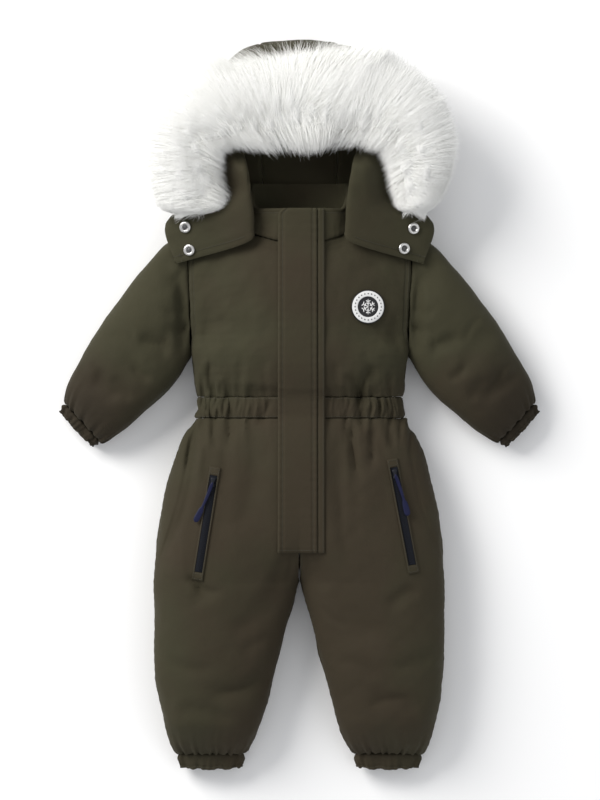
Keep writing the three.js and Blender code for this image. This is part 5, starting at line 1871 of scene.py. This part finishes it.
@dataclass(frozen=True)
class Hood(Assembly):
    """The hood's middle strip and its two sides, which run down into the snapped flaps."""

    seam_share: float = 0.003
    flap_clearance: float = 1.4
    flap_softness: float = 4.0
    rows: int = 112
    side_columns: int = 78
    centre_columns: int = 32
    band: float = 9.0
    tuck: float = 31.0
    hem_turn: float = 1.2

    def net(self, u: Array, v: Array) -> Array:
        """The hood's middle surface, a smooth net through its rows and columns.

        Args:
            u: Rows up from the neck.
            v: Columns from the middle of the back to the rim, negative to the right.

        Returns:
            The points.
        """
        half = np.array(HOOD_ROWS, dtype=float)
        whole = np.concatenate((half[:, :0:-1] * np.array([-1.0, 1.0, 1.0]), half), axis=1)
        for axis in (0, 1):
            ends = [2 * np.take(whole, [i], axis) - np.take(whole, [j], axis) for i, j in ((0, 1), (-1, -2))]
            whole = np.concatenate((ends[0], whole, ends[1]), axis=axis)
        column = v + half.shape[1]
        i = np.clip(np.floor(u).astype(int), 0, half.shape[0] - 2)
        j = np.clip(np.floor(column).astype(int), 1, whole.shape[1] - 3)
        across = (column - j)[..., None]
        lines = [spline(*(whole[i + step, j + side] for side in (-1, 0, 1, 2)), across) for step in range(4)]
        return spline(*lines, (u - i)[..., None])

    def point(self, u: Array, v: Array) -> Array:
        """The net with its back on the surface and its flaps on the bodice and sleeves.

        Its rolled edge is tucked under the fur, and the flaps are eased onto what they
        lie on with a parabola.

        Args:
            u: Rows up from the neck.
            v: Columns from the middle of the back to the rim, negative to the right.

        Returns:
            The points.
        """
        points = self.net(u, v)
        x, y, z = points[..., 0], points[..., 1], np.maximum(points[..., 2], HOOD_WALL / 2)
        under = self.under_fur(x, y) * smooth(2.4, 3.2, np.abs(v)) * smooth(0.7, 2.2, u)
        z = np.maximum(z - self.tuck * under, HOOD_WALL / 2)
        rest = self.suit.resting_height(x, y) + HOOD_WALL / 2 + self.flap_clearance
        low = rest - z
        soft = (low + self.flap_softness) ** 2 / (4 * self.flap_softness)
        eased = z + np.where(low > -self.flap_softness, soft, 0)
        eased = np.where(low > self.flap_softness, rest, eased)
        flap = (np.abs(v) >= 3.5) & (u <= 2.5)
        return place(x, y, np.where(flap, eased, z))

    def under_fur(self, x: Array, y: Array) -> Array:
        """How far places in plan lie under the fur: 0 well inside the face opening, 1 below it.

        The distance is taken outward from the nearest place on the fur's inner edge.

        Args:
            x: Places across.
            y: Places along.

        Returns:
            A share for each place.
        """
        inner_x, inner_y, outer_x, outer_y = FUR.reads(
            np.linspace(0, FUR_END, 97), "inner_x inner_y outer_x outer_y"
        )
        edge, rim = np.stack((inner_x, inner_y), axis=-1), np.stack((outer_x, outer_y), axis=-1)
        flat = np.stack((x.ravel(), y.ravel()), axis=-1)
        apart = np.linalg.norm(flat[:, None] - edge[None], axis=-1)
        near = apart.argmin(axis=1)
        outward = ((flat - edge[near]) * (rim - edge)[near]).sum(axis=-1) > 0
        past = np.where(outward, 1, -1) * apart.min(axis=1)
        return smooth(-36, -6, past).reshape(x.shape)

    def sew(self, name: str, columns: Array, seams: dict[Side, Seam], seed: int) -> Panel:
        """Makes one panel of the hood.

        Args:
            name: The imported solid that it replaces.
            columns: Its columns of the net.
            seams: Its seams.
            seed: The seed of its crumples.

        Returns:
            The panel.
        """
        return Panel(
            f"{name}_cloth", (name,), self.point, np.linspace(0, len(HOOD_ROWS) - 1, self.rows), columns,
            HOOD_WALL, seams, lift=HOOD_WALL / 2, crumple=0.45, crumple_size=30, both_faces=True,
            seed=seed, rests_on=("floor", "bodice_front_right_cloth", "bodice_front_left_cloth"),
        ).build(self.finishes.shell)

    def stitch(self, side: Panel, edge: Side, stitches: Stitching) -> None:
        """Stitches a flap along one edge, on the face that shows.

        Args:
            side: The hood's side.
            edge: The edge that the line follows.
            stitches: Where the stitches go.
        """
        points, normals = side.line(edge, self.band)
        on_flap = (np.abs(points[:, 0]) > 70) & (points[:, 1] < 262)
        hidden = normals[:, 2:] < 0
        up = normals * np.where(hidden, -1.0, 1.0)
        points = points + up * np.where(hidden, HOOD_WALL - self.hem_turn, 0.0)
        stitches.run(points[on_flap], up[on_flap])

    def build(self) -> None:
        """Makes the three panels and the stitching round the flaps."""
        seam = Seam(1.4, 4.0, 0.3, 9.0, 8.0)
        hem = Seam(1.9, 3.4, 0.25, 10.0, 6.0, (self.band,), 1.4, 1.7)
        inner = 1 - self.seam_share
        order = (Side.FIRST_COLUMN, Side.LAST_COLUMN, Side.FIRST_ROW, Side.LAST_ROW)
        centre = np.linspace(-inner, inner, self.centre_columns)
        self.sew("hood_centre", centre, {side: seam for side in order}, 71)
        stitches = Stitching("hood_stitches")
        for name, sign in HALVES:
            columns = sign * np.linspace(1 + self.seam_share, 5, self.side_columns)
            seams = {Side.FIRST_COLUMN: seam, Side.LAST_COLUMN: hem, Side.FIRST_ROW: hem}
            side = self.sew(f"hood_side_{name}", columns, seams, 72 + int(sign))
            self.stitch(side, Side.LAST_COLUMN, stitches)
            self.stitch(side, Side.FIRST_ROW, stitches)
        stitches.build(self.finishes.thread)


FUR = Table(
    "t outer_x outer_y inner_x inner_y low high",
    (
        (0, -160, 247, -124, 246, 62, 84), (1, -179, 256, -104, 254, 54, 96),
        (2, -194, 287, -98, 274, 52, 106), (3, -199, 332, -106, 308, 54, 116),
        (4, -192, 374, -104, 327, 58, 121), (5, -168, 410, -82, 335, 60, 124),
        (6, -129, 441, -54, 336, 62, 125), (7, -77, 459, -27, 337, 64, 125),
        (8, 0, 466, 2, 337, 66, 125), (9, 70, 467, 33, 339, 64, 125),
        (10, 124, 447, 66, 340, 62, 125), (11, 167, 415, 96, 336, 60, 124),
        (12, 192, 377, 112, 323, 58, 120), (13, 202, 335, 119, 304, 54, 114),
        (14, 194, 293, 122, 278, 52, 104), (15, 176, 259, 128, 256, 54, 94),
        (16, 164, 250, 136, 249, 62, 84),
    ),
)
FUR_END = 16
FUR_SECTION = "outer_x outer_y inner_x inner_y low high"


class Growth(Enum):
    """The ways in which the fur's hair lies."""

    COAT = "from an uneven parting, outwards and over the face opening"
    FRINGE = "out past the edge"
    UNDER = "round the underside"
    WISP = "sparse, over the hood's crown"


@dataclass(frozen=True)
class Lay:
    """How one kind of hair lies: where it roots, how far it turns and how it lifts."""

    share: float
    root_low: float
    root_high: float
    length: float
    spread: float
    start: float
    end: float
    way: float
    parting: float | None = None
    beyond: float = 0.0
    first: float = 0.0
    last: float = 16.0


LAYS = {
    Growth.COAT: Lay(0.78, 0.05, 3.35, 54.0, 15.0, 0.68, 1.05, -1.0, 2.42, 0.17, 0.22, 15.78),
    Growth.FRINGE: Lay(0.14, -0.55, 1.00, 40.0, 10.0, 0.70, 1.14, -0.45, first=0.3, last=15.7),
    Growth.UNDER: Lay(0.07, 3.60, 5.40, 40.0, 9.0, 0.62, 1.00, 1.0),
    Growth.WISP: Lay(0.012, 0.10, 0.95, 44.0, 12.0, 0.80, 1.34, -0.4, first=6.2, last=9.7),
}


@dataclass(frozen=True)
class Fur(Assembly):
    """The long white fur round the hood's rim: an under-fur, and strands in four stretches."""

    strands: int = 52000
    steps: int = 4
    width: float = 0.56
    taper: float = 0.88
    core: float = 0.84
    stretches: int = 4
    crown_dip: float = 13.0
    past_end: float = 22.0
    row_length: float = 30.0
    tufts: float = 7.0
    tuft_turn: float = 0.37
    shortest: float = 12.0
    longest: float = 90.0
    least_turn: float = 0.35
    lowest: float = 1.0
    seed: int = 9

    def middle(self, t: Array) -> Array:
        """The middle of the section at places round the rim."""
        outer_x, outer_y, inner_x, inner_y, low, high = FUR.reads(t, FUR_SECTION)
        return place((outer_x + inner_x) / 2, (outer_y + inner_y) / 2, (low + high) / 2)

    def section(self, t: Array) -> tuple[Array, Array, Array, Array, Array]:
        """The oval section at a place round the rim.

        Args:
            t: Places, in rows of the table.

        Returns:
            The section's middle, its half across to the outer edge, its half height, the
            unit direction along the rim, and how far the place lies past the rim's end.
        """
        inside = np.clip(t, 0, FUR_END)
        outer_x, outer_y, inner_x, inner_y, low, high = FUR.reads(inside, FUR_SECTION)
        dip = self.crown_dip * smooth(6.1, 6.9, inside) * (1 - smooth(8.9, 9.7, inside))
        across = place((outer_x - inner_x) / 2, (outer_y - inner_y - dip) / 2, 0.0)
        ahead, behind = (self.middle(np.clip(inside + step, 0, FUR_END)) for step in (0.2, -0.2))
        centre = self.middle(inside) - place(0.0, dip / 2, 0.0)
        return centre, across, (high - low) / 2, unit(ahead - behind), t - inside

    def point(self, t: Array, angle: Array, reach: Array) -> Array:
        """Points round the section, on past the rim's ends.

        Args:
            t: Places, in rows of the table.
            angle: Angles: 0 is the outer edge, a quarter turn the top.
            reach: Shares of the way out to the section's oval.

        Returns:
            The points.
        """
        middle, across, height, ahead, past = self.section(t)
        cosine, sine = np.cos(angle)[..., None], np.sin(angle)[..., None]
        oval = (across * cosine + place(0.0, 0.0, height) * sine) * reach[..., None]
        return middle + oval + ahead * past[..., None] * self.past_end

    def build_core(self) -> None:
        """Makes the dense under-fur as a lumpy tube with closed ends."""
        t, angle = np.meshgrid(np.linspace(0.15, 15.85, 161), around(36), indexing="ij")
        ends = quarter((np.minimum(t, FUR_END - t) - 0.15) / 0.9)
        points = self.point(t, angle, self.core * (0.02 + 0.98 * ends))
        lumps = 2.2 * rumple(points, 17.0, 3) * ends
        points = points + unit(points - self.section(t)[0]) * lumps[..., None]
        faces = self.outwards(points, grid_faces(*t.shape, True))
        piece = make_piece(
            "fur_under_coat", (points, faces), self.finishes.hair, 180, ("fur_trim",)
        )
        add_number(piece, "share", np.full(t.size, 0.7))
        add_number(piece, "tone", 0.5 + 0.2 * rumple(points, 9.0, 4).ravel())

    def outwards(self, points: Array, faces: Array) -> Array:
        """Turns the faces so that they point away from the tube's middle line."""
        inside = points.mean(axis=1, keepdims=True)
        return faces if ((points - inside) * grid_normals(points, True)).sum() > 0 else faces[:, ::-1]

    def roots(self, rng: np.random.Generator, lay: Lay, count: int) -> tuple[Array, ...]:
        """Draws where the hairs of one lay root and how they run.

        Args:
            rng: The seeded draw.
            lay: How they lie.
            count: How many there are.

        Returns:
            Place, angle, turn, sideways lean and lift of each hair.
        """
        t = rng.uniform(lay.first, lay.last, count)
        angle = rng.uniform(lay.root_low, lay.root_high, count)
        _, across, height, _, _ = self.section(t)
        round_size = (np.linalg.norm(across, axis=-1) + height) / 2
        length = rng.normal(lay.length, lay.spread, count).clip(self.shortest, self.longest)
        to_end = np.minimum(t, FUR_END - t)
        inward = np.zeros(count)
        if lay.parting is not None:
            wander = rumple(place(t * self.row_length, 0.0, 0.0), 55.0, 8)
            parting = lay.parting + 0.30 * rng.normal(size=count) + 0.16 * wander
            inward = smooth(-0.3, 0.3, angle - parting)
            length = length * (1 - 0.34 * inward)
        reach = length * (0.55 + 0.45 * smooth(0, 2.5, to_end + 0.3))
        turn = mix(lay.way, 1.0, inward) * reach / round_size
        least = self.least_turn * np.where(inward > 0.5, 1.0, -1.0)
        turn = np.where(np.abs(turn) < self.least_turn, least, turn)
        toward_end = np.clip((t - FUR_END / 2) / 3, -1, 1) * (0.25 + 0.75 * (1 - smooth(0.0, 4.5, to_end)))
        spots = place(t * self.row_length, angle * self.row_length, 0.0)
        broad, fine = rumple(spots, 75.0, 5), rumple(spots, 22.0, 6)
        lean = 0.16 * broad + 0.07 * fine + 0.06 * rng.normal(size=count) + 0.45 * toward_end
        lift = lay.end + lay.beyond * inward + 0.05 * rng.normal(size=count) + 0.02 * broad
        return t, angle, turn, lean, lift

    def strand_points(self, rng: np.random.Generator, lay: Lay, count: int) -> tuple[Array, Array, Array]:
        """Centre lines of the hairs of one lay, gathered into tufts towards their tips.

        Args:
            rng: The seeded draw.
            lay: How they lie.
            count: How many there are.

        Returns:
            The lines, their outward directions, and a tone for each hair.
        """
        roots = self.roots(rng, lay, count)
        t, angle, turn, lean, lift = (part[:, None] for part in roots)
        cell = np.round(t * self.tufts)
        tuft = cell / self.tufts + 0.05 * np.sin(cell * 5.1)
        tuft_angle = (np.round(angle * 4 + cell * self.tuft_turn) - cell * self.tuft_turn) / 4
        s = np.linspace(0, 1, self.steps + 1)[None]
        pull = 0.38 * s**1.6
        along = t + (tuft - t) * pull + lean * s**1.3
        bend = angle + (tuft_angle - angle) * pull * 0.6 + turn * s
        rise = lay.start + (lift - lay.start) * s**0.75
        wave = 0.012 * np.sin(2 * math.pi * (s * 1.4 + rng.uniform(0, 1, (count, 1))))
        line = self.point(along + wave, bend, rise)
        return line, unit(line - self.section(along)[0]), rng.uniform(0, 1, count)

    def build(self) -> None:
        """Makes the under-fur and the strands."""
        self.build_core()
        rng = np.random.default_rng(self.seed)
        parts = [self.strand_points(rng, lay, int(self.strands * lay.share)) for lay in LAYS.values()]
        lines, outward, tone = (np.concatenate(part) for part in zip(*parts))
        order = np.argsort(lines[:, 0, 0], kind="stable")
        for number, chosen in enumerate(np.array_split(order, self.stretches)):
            self.build_strands(f"fur_hair_{number + 1}", lines[chosen], outward[chosen], tone[chosen])

    def build_strands(self, name: str, lines: Array, outward: Array, tone: Array) -> None:
        """Makes tapered ribbons along the lines, flat side outwards.

        Args:
            name: The piece's name.
            lines: Centre lines.
            outward: Which way the ribbons face.
            tone: A tone for each hair.
        """
        s = np.linspace(0, 1, self.steps + 1)
        half = self.width / 2 * (1 - self.taper * s**1.5)
        beside = unit(np.cross(outward, unit(np.gradient(lines, axis=1)))) * half[None, :, None]
        points = np.stack((lines - beside, lines + beside), axis=2).reshape(-1, 3)
        points[:, 2] = np.maximum(points[:, 2], self.lowest)
        count, per = len(lines), 2 * (self.steps + 1)
        step = 2 * np.arange(self.steps)
        one = np.stack((step, step + 2, step + 3, step + 1), axis=-1)
        faces = (one[None] + (np.arange(count) * per)[:, None, None]).reshape(-1, 4)
        piece = make_piece(name, (points, faces), self.finishes.hair, 180)
        add_number(piece, "share", np.tile(np.repeat(0.15 + 0.85 * s, 2), count))
        add_number(piece, "tone", np.repeat(tone, per))


@dataclass(frozen=True)
class Snaps(Assembly):
    """The four snaps on the flaps, turned from one profile and set where the solids lie."""

    frame: dict
    names: tuple[str, ...] = ("snap_right_upper", "snap_right_lower", "snap_left_upper", "snap_left_lower")
    sides: int = 40
    profile: tuple[tuple[float, float], ...] = (
        (0.01, 0.0), (7.5, 0.0), (7.55, 0.7), (7.3, 1.35), (6.7, 1.9), (5.9, 2.2), (5.0, 2.25), (4.2, 1.95),
        (3.7, 1.4), (3.5, 0.8), (3.3, 0.6), (0.01, 0.6),
    )
    stud: tuple[tuple[float, float], ...] = ((3.4, 0.62), (2.4, 0.7), (1.9, 1.15), (1.3, 1.35), (0.01, 1.4))

    def turned(self, profile: Sequence[tuple[float, float]], foot: Array, axis: Array) -> Shape:
        """A profile turned about an axis, with its heights along the axis.

        Args:
            profile: Pairs of a radius and a height.
            foot: Where the axis starts.
            axis: Its unit direction.

        Returns:
            The points and faces.
        """
        first = unit(np.cross(axis, np.array([1.0, 0.0, 0.0])))
        second = np.cross(axis, first)
        r, h = np.array(profile).T[..., None, None]
        turn = around(self.sides)[:, None]
        ring = np.cos(turn) * first + np.sin(turn) * second
        return foot + r * ring + h * axis, grid_faces(len(profile), self.sides, True)

    def build(self) -> None:
        """Makes each snap's ring and its dark stud; its axis is the way its solid is thinnest."""
        for name in self.names:
            mesh = self.frame["nodes"][name].data
            corners = np.empty(len(mesh.vertices) * 3)
            mesh.vertices.foreach_get("co", corners)
            points = corners.reshape(-1, 3) / MM
            middle = points.mean(axis=0)
            axis = np.linalg.svd(points - middle, full_matrices=False)[2][2]
            axis = axis if axis[2] > 0 else -axis
            foot = middle + axis * ((points - middle) @ axis).min()
            ring, stud = self.turned(self.profile, foot, axis), self.turned(self.stud, foot, axis)
            make_piece(f"{name}_ring", ring, self.finishes.metal, 35, (name,))
            make_piece(f"{name}_stud", stud, self.finishes.socket, 60)


@dataclass(frozen=True)
class ChestPatch(Assembly):
    """The round moulded patch: a dark disc, a pale ring with dots and a plain six-armed flake."""

    lift: float = 0.8
    thickness: float = 1.6
    ring_top: float = 0.95
    dots: int = 24
    dot_circle: float = 17.0
    dot_size: float = 0.75
    arm: float = 9.6
    bar_half: float = 0.6
    flake_raise: float = 0.7

    def disc(self, radii: Array, heights: Array, sides: int = 96) -> Shape:
        """Rings that follow the chest.

        Args:
            radii: Each ring's radius.
            heights: Its height above the cloth.
            sides: How many points it has.

        Returns:
            The points and faces.
        """
        turn = around(sides)
        x, y = PATCH_X + radii[:, None] * np.cos(turn), PATCH_Y + radii[:, None] * np.sin(turn)
        points = place(x, y, self.suit.front_height(x, y) + self.lift + heights[:, None])
        return points, grid_faces(len(radii), sides, True)[:, ::-1]

    def bars(self) -> Shape:
        """The flake's bars: six arms, each with two pairs of slanted side bars.

        Returns:
            The points and faces.
        """
        starts, ends = [], []
        for k in range(6):
            angle = k * math.pi / 3 + math.pi / 6
            way = np.array([math.cos(angle), math.sin(angle)])
            aside = np.array([-way[1], way[0]])
            starts.append(0 * way)
            ends.append(way * self.arm)
            for reach, size in ((0.40, 2.2), (0.68, 2.8)):
                for sign in (-1, 1):
                    starts.append(way * self.arm * reach)
                    ends.append(way * (self.arm * reach + 0.55 * size) + aside * sign * size)
        run = np.array(ends) - np.array(starts)
        x, y = (np.array(starts) + run / 2 + np.array([PATCH_X, PATCH_Y])).T
        middle = place(x, y, self.suit.front_height(x, y) + self.lift + self.thickness)
        length = np.linalg.norm(run, axis=1)
        ahead = place(run[:, 0], run[:, 1], 0.0) / length[:, None]
        shape = bead(1.0, self.bar_half, self.flake_raise, 8)
        return repeat(shape, middle, ahead, UP, length + self.bar_half)

    def build(self) -> None:
        """Makes the disc, ring, dots and flake."""
        top, dark, pale = self.thickness, self.finishes.dark_rubber, self.finishes.pale_rubber
        outer = np.array([0.01, PATCH_RADIUS - 0.2, PATCH_RADIUS, PATCH_RADIUS, 21.4, 20.9, 20.7, 13.2, 0.01])
        heights = np.array([0.0, 0.0, 0.3, top + 0.5, top + 0.9, top + 0.9, top, top, top])
        make_piece("patch_disc", self.disc(outer, heights), dark, 40, ("chest_patch",))
        radii = np.array([13.4, 13.4, 13.7, 14.2, 17.0, 19.8, 20.3, 20.6, 20.6, 17.0, 13.4])
        rise = top + np.array([0.1, 0.6, 0.85, 0.95, 0.95, 0.95, 0.85, 0.6, 0.1, 0.1, 0.1])
        make_piece("patch_ring", self.disc(radii, rise), pale, 40, ("chest_patch_ring",))
        turn = around(self.dots)
        x, y = PATCH_X + self.dot_circle * np.cos(turn), PATCH_Y + self.dot_circle * np.sin(turn)
        spots = place(x, y, self.suit.front_height(x, y) + self.lift + top + self.ring_top)
        dot = bead(2.6 * self.dot_size, self.dot_size, 0.25, 8)
        dots = repeat(dot, spots, place(-np.sin(turn), np.cos(turn), 0.0), UP)
        make_piece("patch_dots", dots, dark, 60)
        make_piece("patch_flake", self.bars(), pale, 60)


@dataclass(frozen=True)
class ZipPocket(Assembly):
    """A pocket's welt, zip, slider and pull."""

    zip_half: float = 4.6
    welt_half: float = 7.2
    welt_end: float = 11.0
    welt_rise: float = 1.9
    welt_profile: tuple[tuple[float, float], ...] = (
        (0.0, 0.0), (0.0, 0.65), (0.06, 0.88), (0.2, 1.0), (0.6, 1.0), (0.85, 0.86), (0.96, 0.6),
        (1.0, 0.25), (1.0, 0.0), (0.5, 0.0), (0.0, 0.0),
    )
    side_stitch: float = 1.6
    end_stitch: float = 2.2
    lift: float = 0.6
    tape_rise: float = 1.2
    tooth_pitch: float = 1.5
    tooth_side: float = 0.9
    slider_start: float = 3.0
    slider_length: float = 12.0
    slider_half: float = 3.6
    slider_rise: float = 4.4
    pull_rise: float = 5.2
    pull_half_height: float = 1.2
    pull_bow: float = 1.1
    widths: Table = Table(
        "share half", ((0, 1.3), (0.12, 2.3), (0.4, 2.1), (0.6, 1.7), (0.7, 3.4), (0.9, 4.0), (1, 3.0))
    )

    def bed(self, pocket: Pocket, down: Array, side: Array, rise: Array) -> Array:
        """Points above the trousers.

        Args:
            pocket: The pocket.
            down: How far down its zip they are.
            side: How far beside it.
            rise: How far above the cloth.

        Returns:
            The points.
        """
        way = self.way(pocket)
        x = pocket.top[0] + way[0] * down - way[1] * side
        y = pocket.top[1] + way[1] * down + way[0] * side
        return place(x, y, self.suit.front_height(x, y) + rise)

    def way(self, pocket: Pocket) -> Array:
        """The unit direction down a pocket's zip."""
        return unit(np.array(pocket.bottom) - np.array(pocket.top))

    def build_welt(self, pocket: Pocket, stitches: Stitching) -> None:
        """Makes the frame of cloth round the zip: a rounded band swept round its outline.

        Args:
            pocket: The pocket.
            stitches: Where its stitches go.
        """
        length = math.dist(pocket.top, pocket.bottom)
        run, tip = np.linspace(0, 1, 61), np.linspace(-1, 1, 9)[1:-1]
        inner_down = np.concatenate((length * run, length + 0 * tip, length * run[::-1], 0 * tip))
        edge = np.concatenate((0 * run - 1, tip, 0 * run + 1, -tip))
        inner_side, outer_side = edge * (self.zip_half + SEAM_GAP), edge * self.welt_half
        outer_down = (inner_down - length / 2) * (length + 2 * self.welt_end) / length + length / 2
        share, height = np.array(self.welt_profile).T[..., None]
        down, side = mix(inner_down, outer_down, share), mix(inner_side, outer_side, share)
        points = self.bed(pocket, down, side, self.lift + height * self.welt_rise)
        faces = grid_faces(*points.shape[:2], True)
        piece = make_piece(
            f"pocket_frame_{pocket.name}", (points, faces), self.finishes.shell, 45,
            (f"pocket_welt_{pocket.name}",),
        )
        uv = np.tile(np.stack((inner_side + 20.0, inner_down), axis=-1), (len(points), 1))
        add_uv(piece, uv[faces.ravel()])
        add_number(piece, "edge", np.zeros(down.size))
        self.stitch_welt(pocket, length, stitches)

    def stitch_welt(self, pocket: Pocket, length: float, stitches: Stitching) -> None:
        """Stitches the frame along its two sides, and twice across each end.

        Args:
            pocket: The pocket.
            length: The zip's length.
            stitches: Where the stitches go.
        """
        rise = self.lift + self.welt_rise
        down = np.linspace(2 - self.welt_end, length + self.welt_end - 2, 61)
        beside = self.welt_half - self.side_stitch
        lines = [self.bed(pocket, down, sign * beside, rise) for _, sign in HALVES]
        side = np.linspace(2.0 - self.welt_half, self.welt_half - 2.0, 9)
        inset = self.end_stitch
        for level in (inset - self.welt_end, -inset, length + inset, length + self.welt_end - inset):
            lines.append(self.bed(pocket, level, side, rise))
        for line in lines:
            stitches.run(line, np.broadcast_to(UP, line.shape))

    def build_zip(self, pocket: Pocket) -> None:
        """Makes the tape, the two rows of coil teeth and the slider.

        Args:
            pocket: The pocket.
        """
        coil, length = self.finishes.coil, math.dist(pocket.top, pocket.bottom)
        down = np.linspace(SEAM_GAP, length - SEAM_GAP, 60)
        line = self.bed(pocket, down, 0.0, self.lift + self.tape_rise / 2)
        tape = swept(line, self.zip_half + 0 * down, self.tape_rise / 2 + 0 * down, UP)
        stands_for = (f"pocket_zip_{pocket.name}",)
        make_piece(f"pocket_tape_{pocket.name}", tape, self.finishes.tape, 45, stands_for)
        teeth = np.arange(self.slider_start + self.slider_length, length - 1.5, self.tooth_pitch)
        side = np.where(np.arange(len(teeth)) % 2 == 0, -self.tooth_side, self.tooth_side)
        spots = self.bed(pocket, teeth, side, self.lift + self.tape_rise + 0.3)
        way = self.way(pocket)
        ahead = np.tile(np.array([-way[1], way[0], 0.0]), (len(teeth), 1))
        rows = repeat(bead(3.0, 0.55, 0.6), spots, ahead, UP)
        make_piece(f"pocket_coil_{pocket.name}", rows, coil, 45)
        run = np.linspace(0, 1, 14)
        end, half_rise = np.minimum(run, 1 - run), (self.slider_rise - self.tape_rise) / 2
        width = self.slider_half * (0.78 + 0.22 * np.cos(2 * math.pi * run)) * quarter(end / 0.08 + 0.15)
        body = self.slider_start + self.slider_length * run
        line = self.bed(pocket, body, 0.0, self.lift + self.tape_rise + half_rise)
        slider = swept(line, width, half_rise * quarter(end / 0.1 + 0.25), UP)
        stands_for = (f"zip_slider_{pocket.name}",)
        make_piece(f"pocket_slider_{pocket.name}", slider, coil, 45, stands_for)

    def build_pull(self, pocket: Pocket) -> None:
        """Makes the cord pull with its moulded end, lying down the trousers.

        Args:
            pocket: The pocket.
        """
        middle = np.array([self.slider_start + self.slider_length / 2])
        start = self.bed(pocket, middle, 0.0, 0.0)[0]
        run = np.linspace(0, 1, 48)
        x = mix(start[0], pocket.pull[0], run) + self.pull_bow * np.sin(math.pi * run)
        y = mix(start[1], pocket.pull[1], run)
        rise = mix(self.pull_rise + 1.6, self.pull_rise, smooth(0, 0.25, run))
        line = place(x, y, self.suit.front_height(x, y) + self.lift + rise)
        end = quarter(np.minimum(run, 1 - run) / 0.05)
        half = self.widths.read("half", run) * (0.25 + 0.75 * end)
        pull = swept(line, half, self.pull_half_height * (0.4 + 0.6 * end), UP)
        stands_for = (f"zip_pull_{pocket.name}",)
        make_piece(f"pocket_pull_{pocket.name}", pull, self.finishes.navy, 45, stands_for)

    def build(self) -> None:
        """Makes both pockets and their stitches."""
        stitches = Stitching("pocket_stitches")
        for pocket in POCKETS:
            self.build_welt(pocket, stitches)
            self.build_zip(pocket)
            self.build_pull(pocket)
        stitches.build(self.finishes.thread)


@dataclass(frozen=True)
class Studio:
    """The pale floor, the soft light and the camera straight above."""

    floor_size: float = 14.0
    floor_level: float = -0.0004
    camera_height: float = 6.0
    aim: tuple[float, float, float] = (0.00065, 0.00715, 0.035)
    lens: float = 207.7
    far_clip: float = 40.0
    world: Colour = (0.93, 0.94, 0.96)
    world_strength: float = 0.64

    def build(self) -> None:
        """Sets up the floor, lights, camera and colour handling."""
        self.build_floor()
        self.light("key", (-2.5, 2.1, 2.1), 2.2, 172.0, (1.0, 0.985, 0.96))
        self.light("fill", (2.4, -0.8, 2.8), 2.6, 14.0, (0.95, 0.97, 1.0))
        self.build_world()
        self.build_camera()

    def build_floor(self) -> None:
        """A plain near-white floor just under the suit."""
        shader = Shader("studio_floor")
        shade = shader.blend(shader.noise(0.6, 1.0) * 0.2, (0.95, 0.95, 0.95), (0.92, 0.92, 0.92))
        surface = shader.principled(Base_Color=shade, Roughness=0.9, Specular_IOR_Level=0.1)
        half = self.floor_size / 2
        mesh = bpy.data.meshes.new("studio_floor")
        corners = ((-half, -half), (half, -half), (half, half), (-half, half))
        mesh.from_pydata([(x, y, self.floor_level) for x, y in corners], [], [(0, 1, 2, 3)])
        mesh.materials.append(shader.finish(surface))
        floor = bpy.data.objects.new("studio_floor", mesh)
        bpy.context.scene.collection.objects.link(floor)

    def light(
        self, name: str, spot: tuple[float, float, float], size: float, power: float, colour: Colour
    ) -> None:
        """Adds a square area light that faces the suit.

        Args:
            name: Its name.
            spot: Where it stands.
            size: Its side.
            power: Its power in watts.
            colour: Its colour.
        """
        data = bpy.data.lights.new(name, "AREA")
        data.size, data.energy, data.color = size, power, colour
        lamp = bpy.data.objects.new(name, data)
        lamp.location = spot
        lamp.rotation_euler = (Vector(self.aim) - Vector(spot)).to_track_quat("-Z", "Y").to_euler()
        bpy.context.scene.collection.objects.link(lamp)

    def build_world(self) -> None:
        """An even pale sky."""
        world = bpy.data.worlds.new("studio_world")
        world.use_nodes = True
        background = world.node_tree.nodes["Background"]
        background.inputs[0].default_value = (*self.world, 1.0)
        background.inputs[1].default_value = self.world_strength
        bpy.context.scene.world = world

    def build_camera(self) -> None:
        """A long lens straight above the suit, with +Y up in the picture."""
        data = bpy.data.cameras.new("camera")
        data.lens = self.lens
        data.clip_end = self.far_clip
        camera = bpy.data.objects.new("camera", data)
        camera.location = Vector(self.aim) + Vector((0, 0, self.camera_height))
        bpy.context.scene.collection.objects.link(camera)
        bpy.context.scene.camera = camera
        bpy.context.scene.view_settings.view_transform = "Standard"


def main() -> None:
    """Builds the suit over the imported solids, then the studio round it."""
    logging.basicConfig(level=logging.INFO, format="%(name)s: %(message)s")
    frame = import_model()
    suit, finishes = Suit(), Finishes()
    collar = Collar(suit, finishes)
    Bodice(suit, finishes).build()
    Casing(suit, finishes).build()
    Trousers(suit, finishes).build()
    Sleeves(suit, finishes).build()
    Cuffs(suit, finishes).build()
    collar.build()
    Placket(suit, finishes, collar).build()
    Hood(suit, finishes).build()
    Snaps(suit, finishes, frame).build()
    ChestPatch(suit, finishes).build()
    ZipPocket(suit, finishes).build()
    Fur(suit, finishes).build()
    Studio().build()


if __name__ == "__main__":
    main()
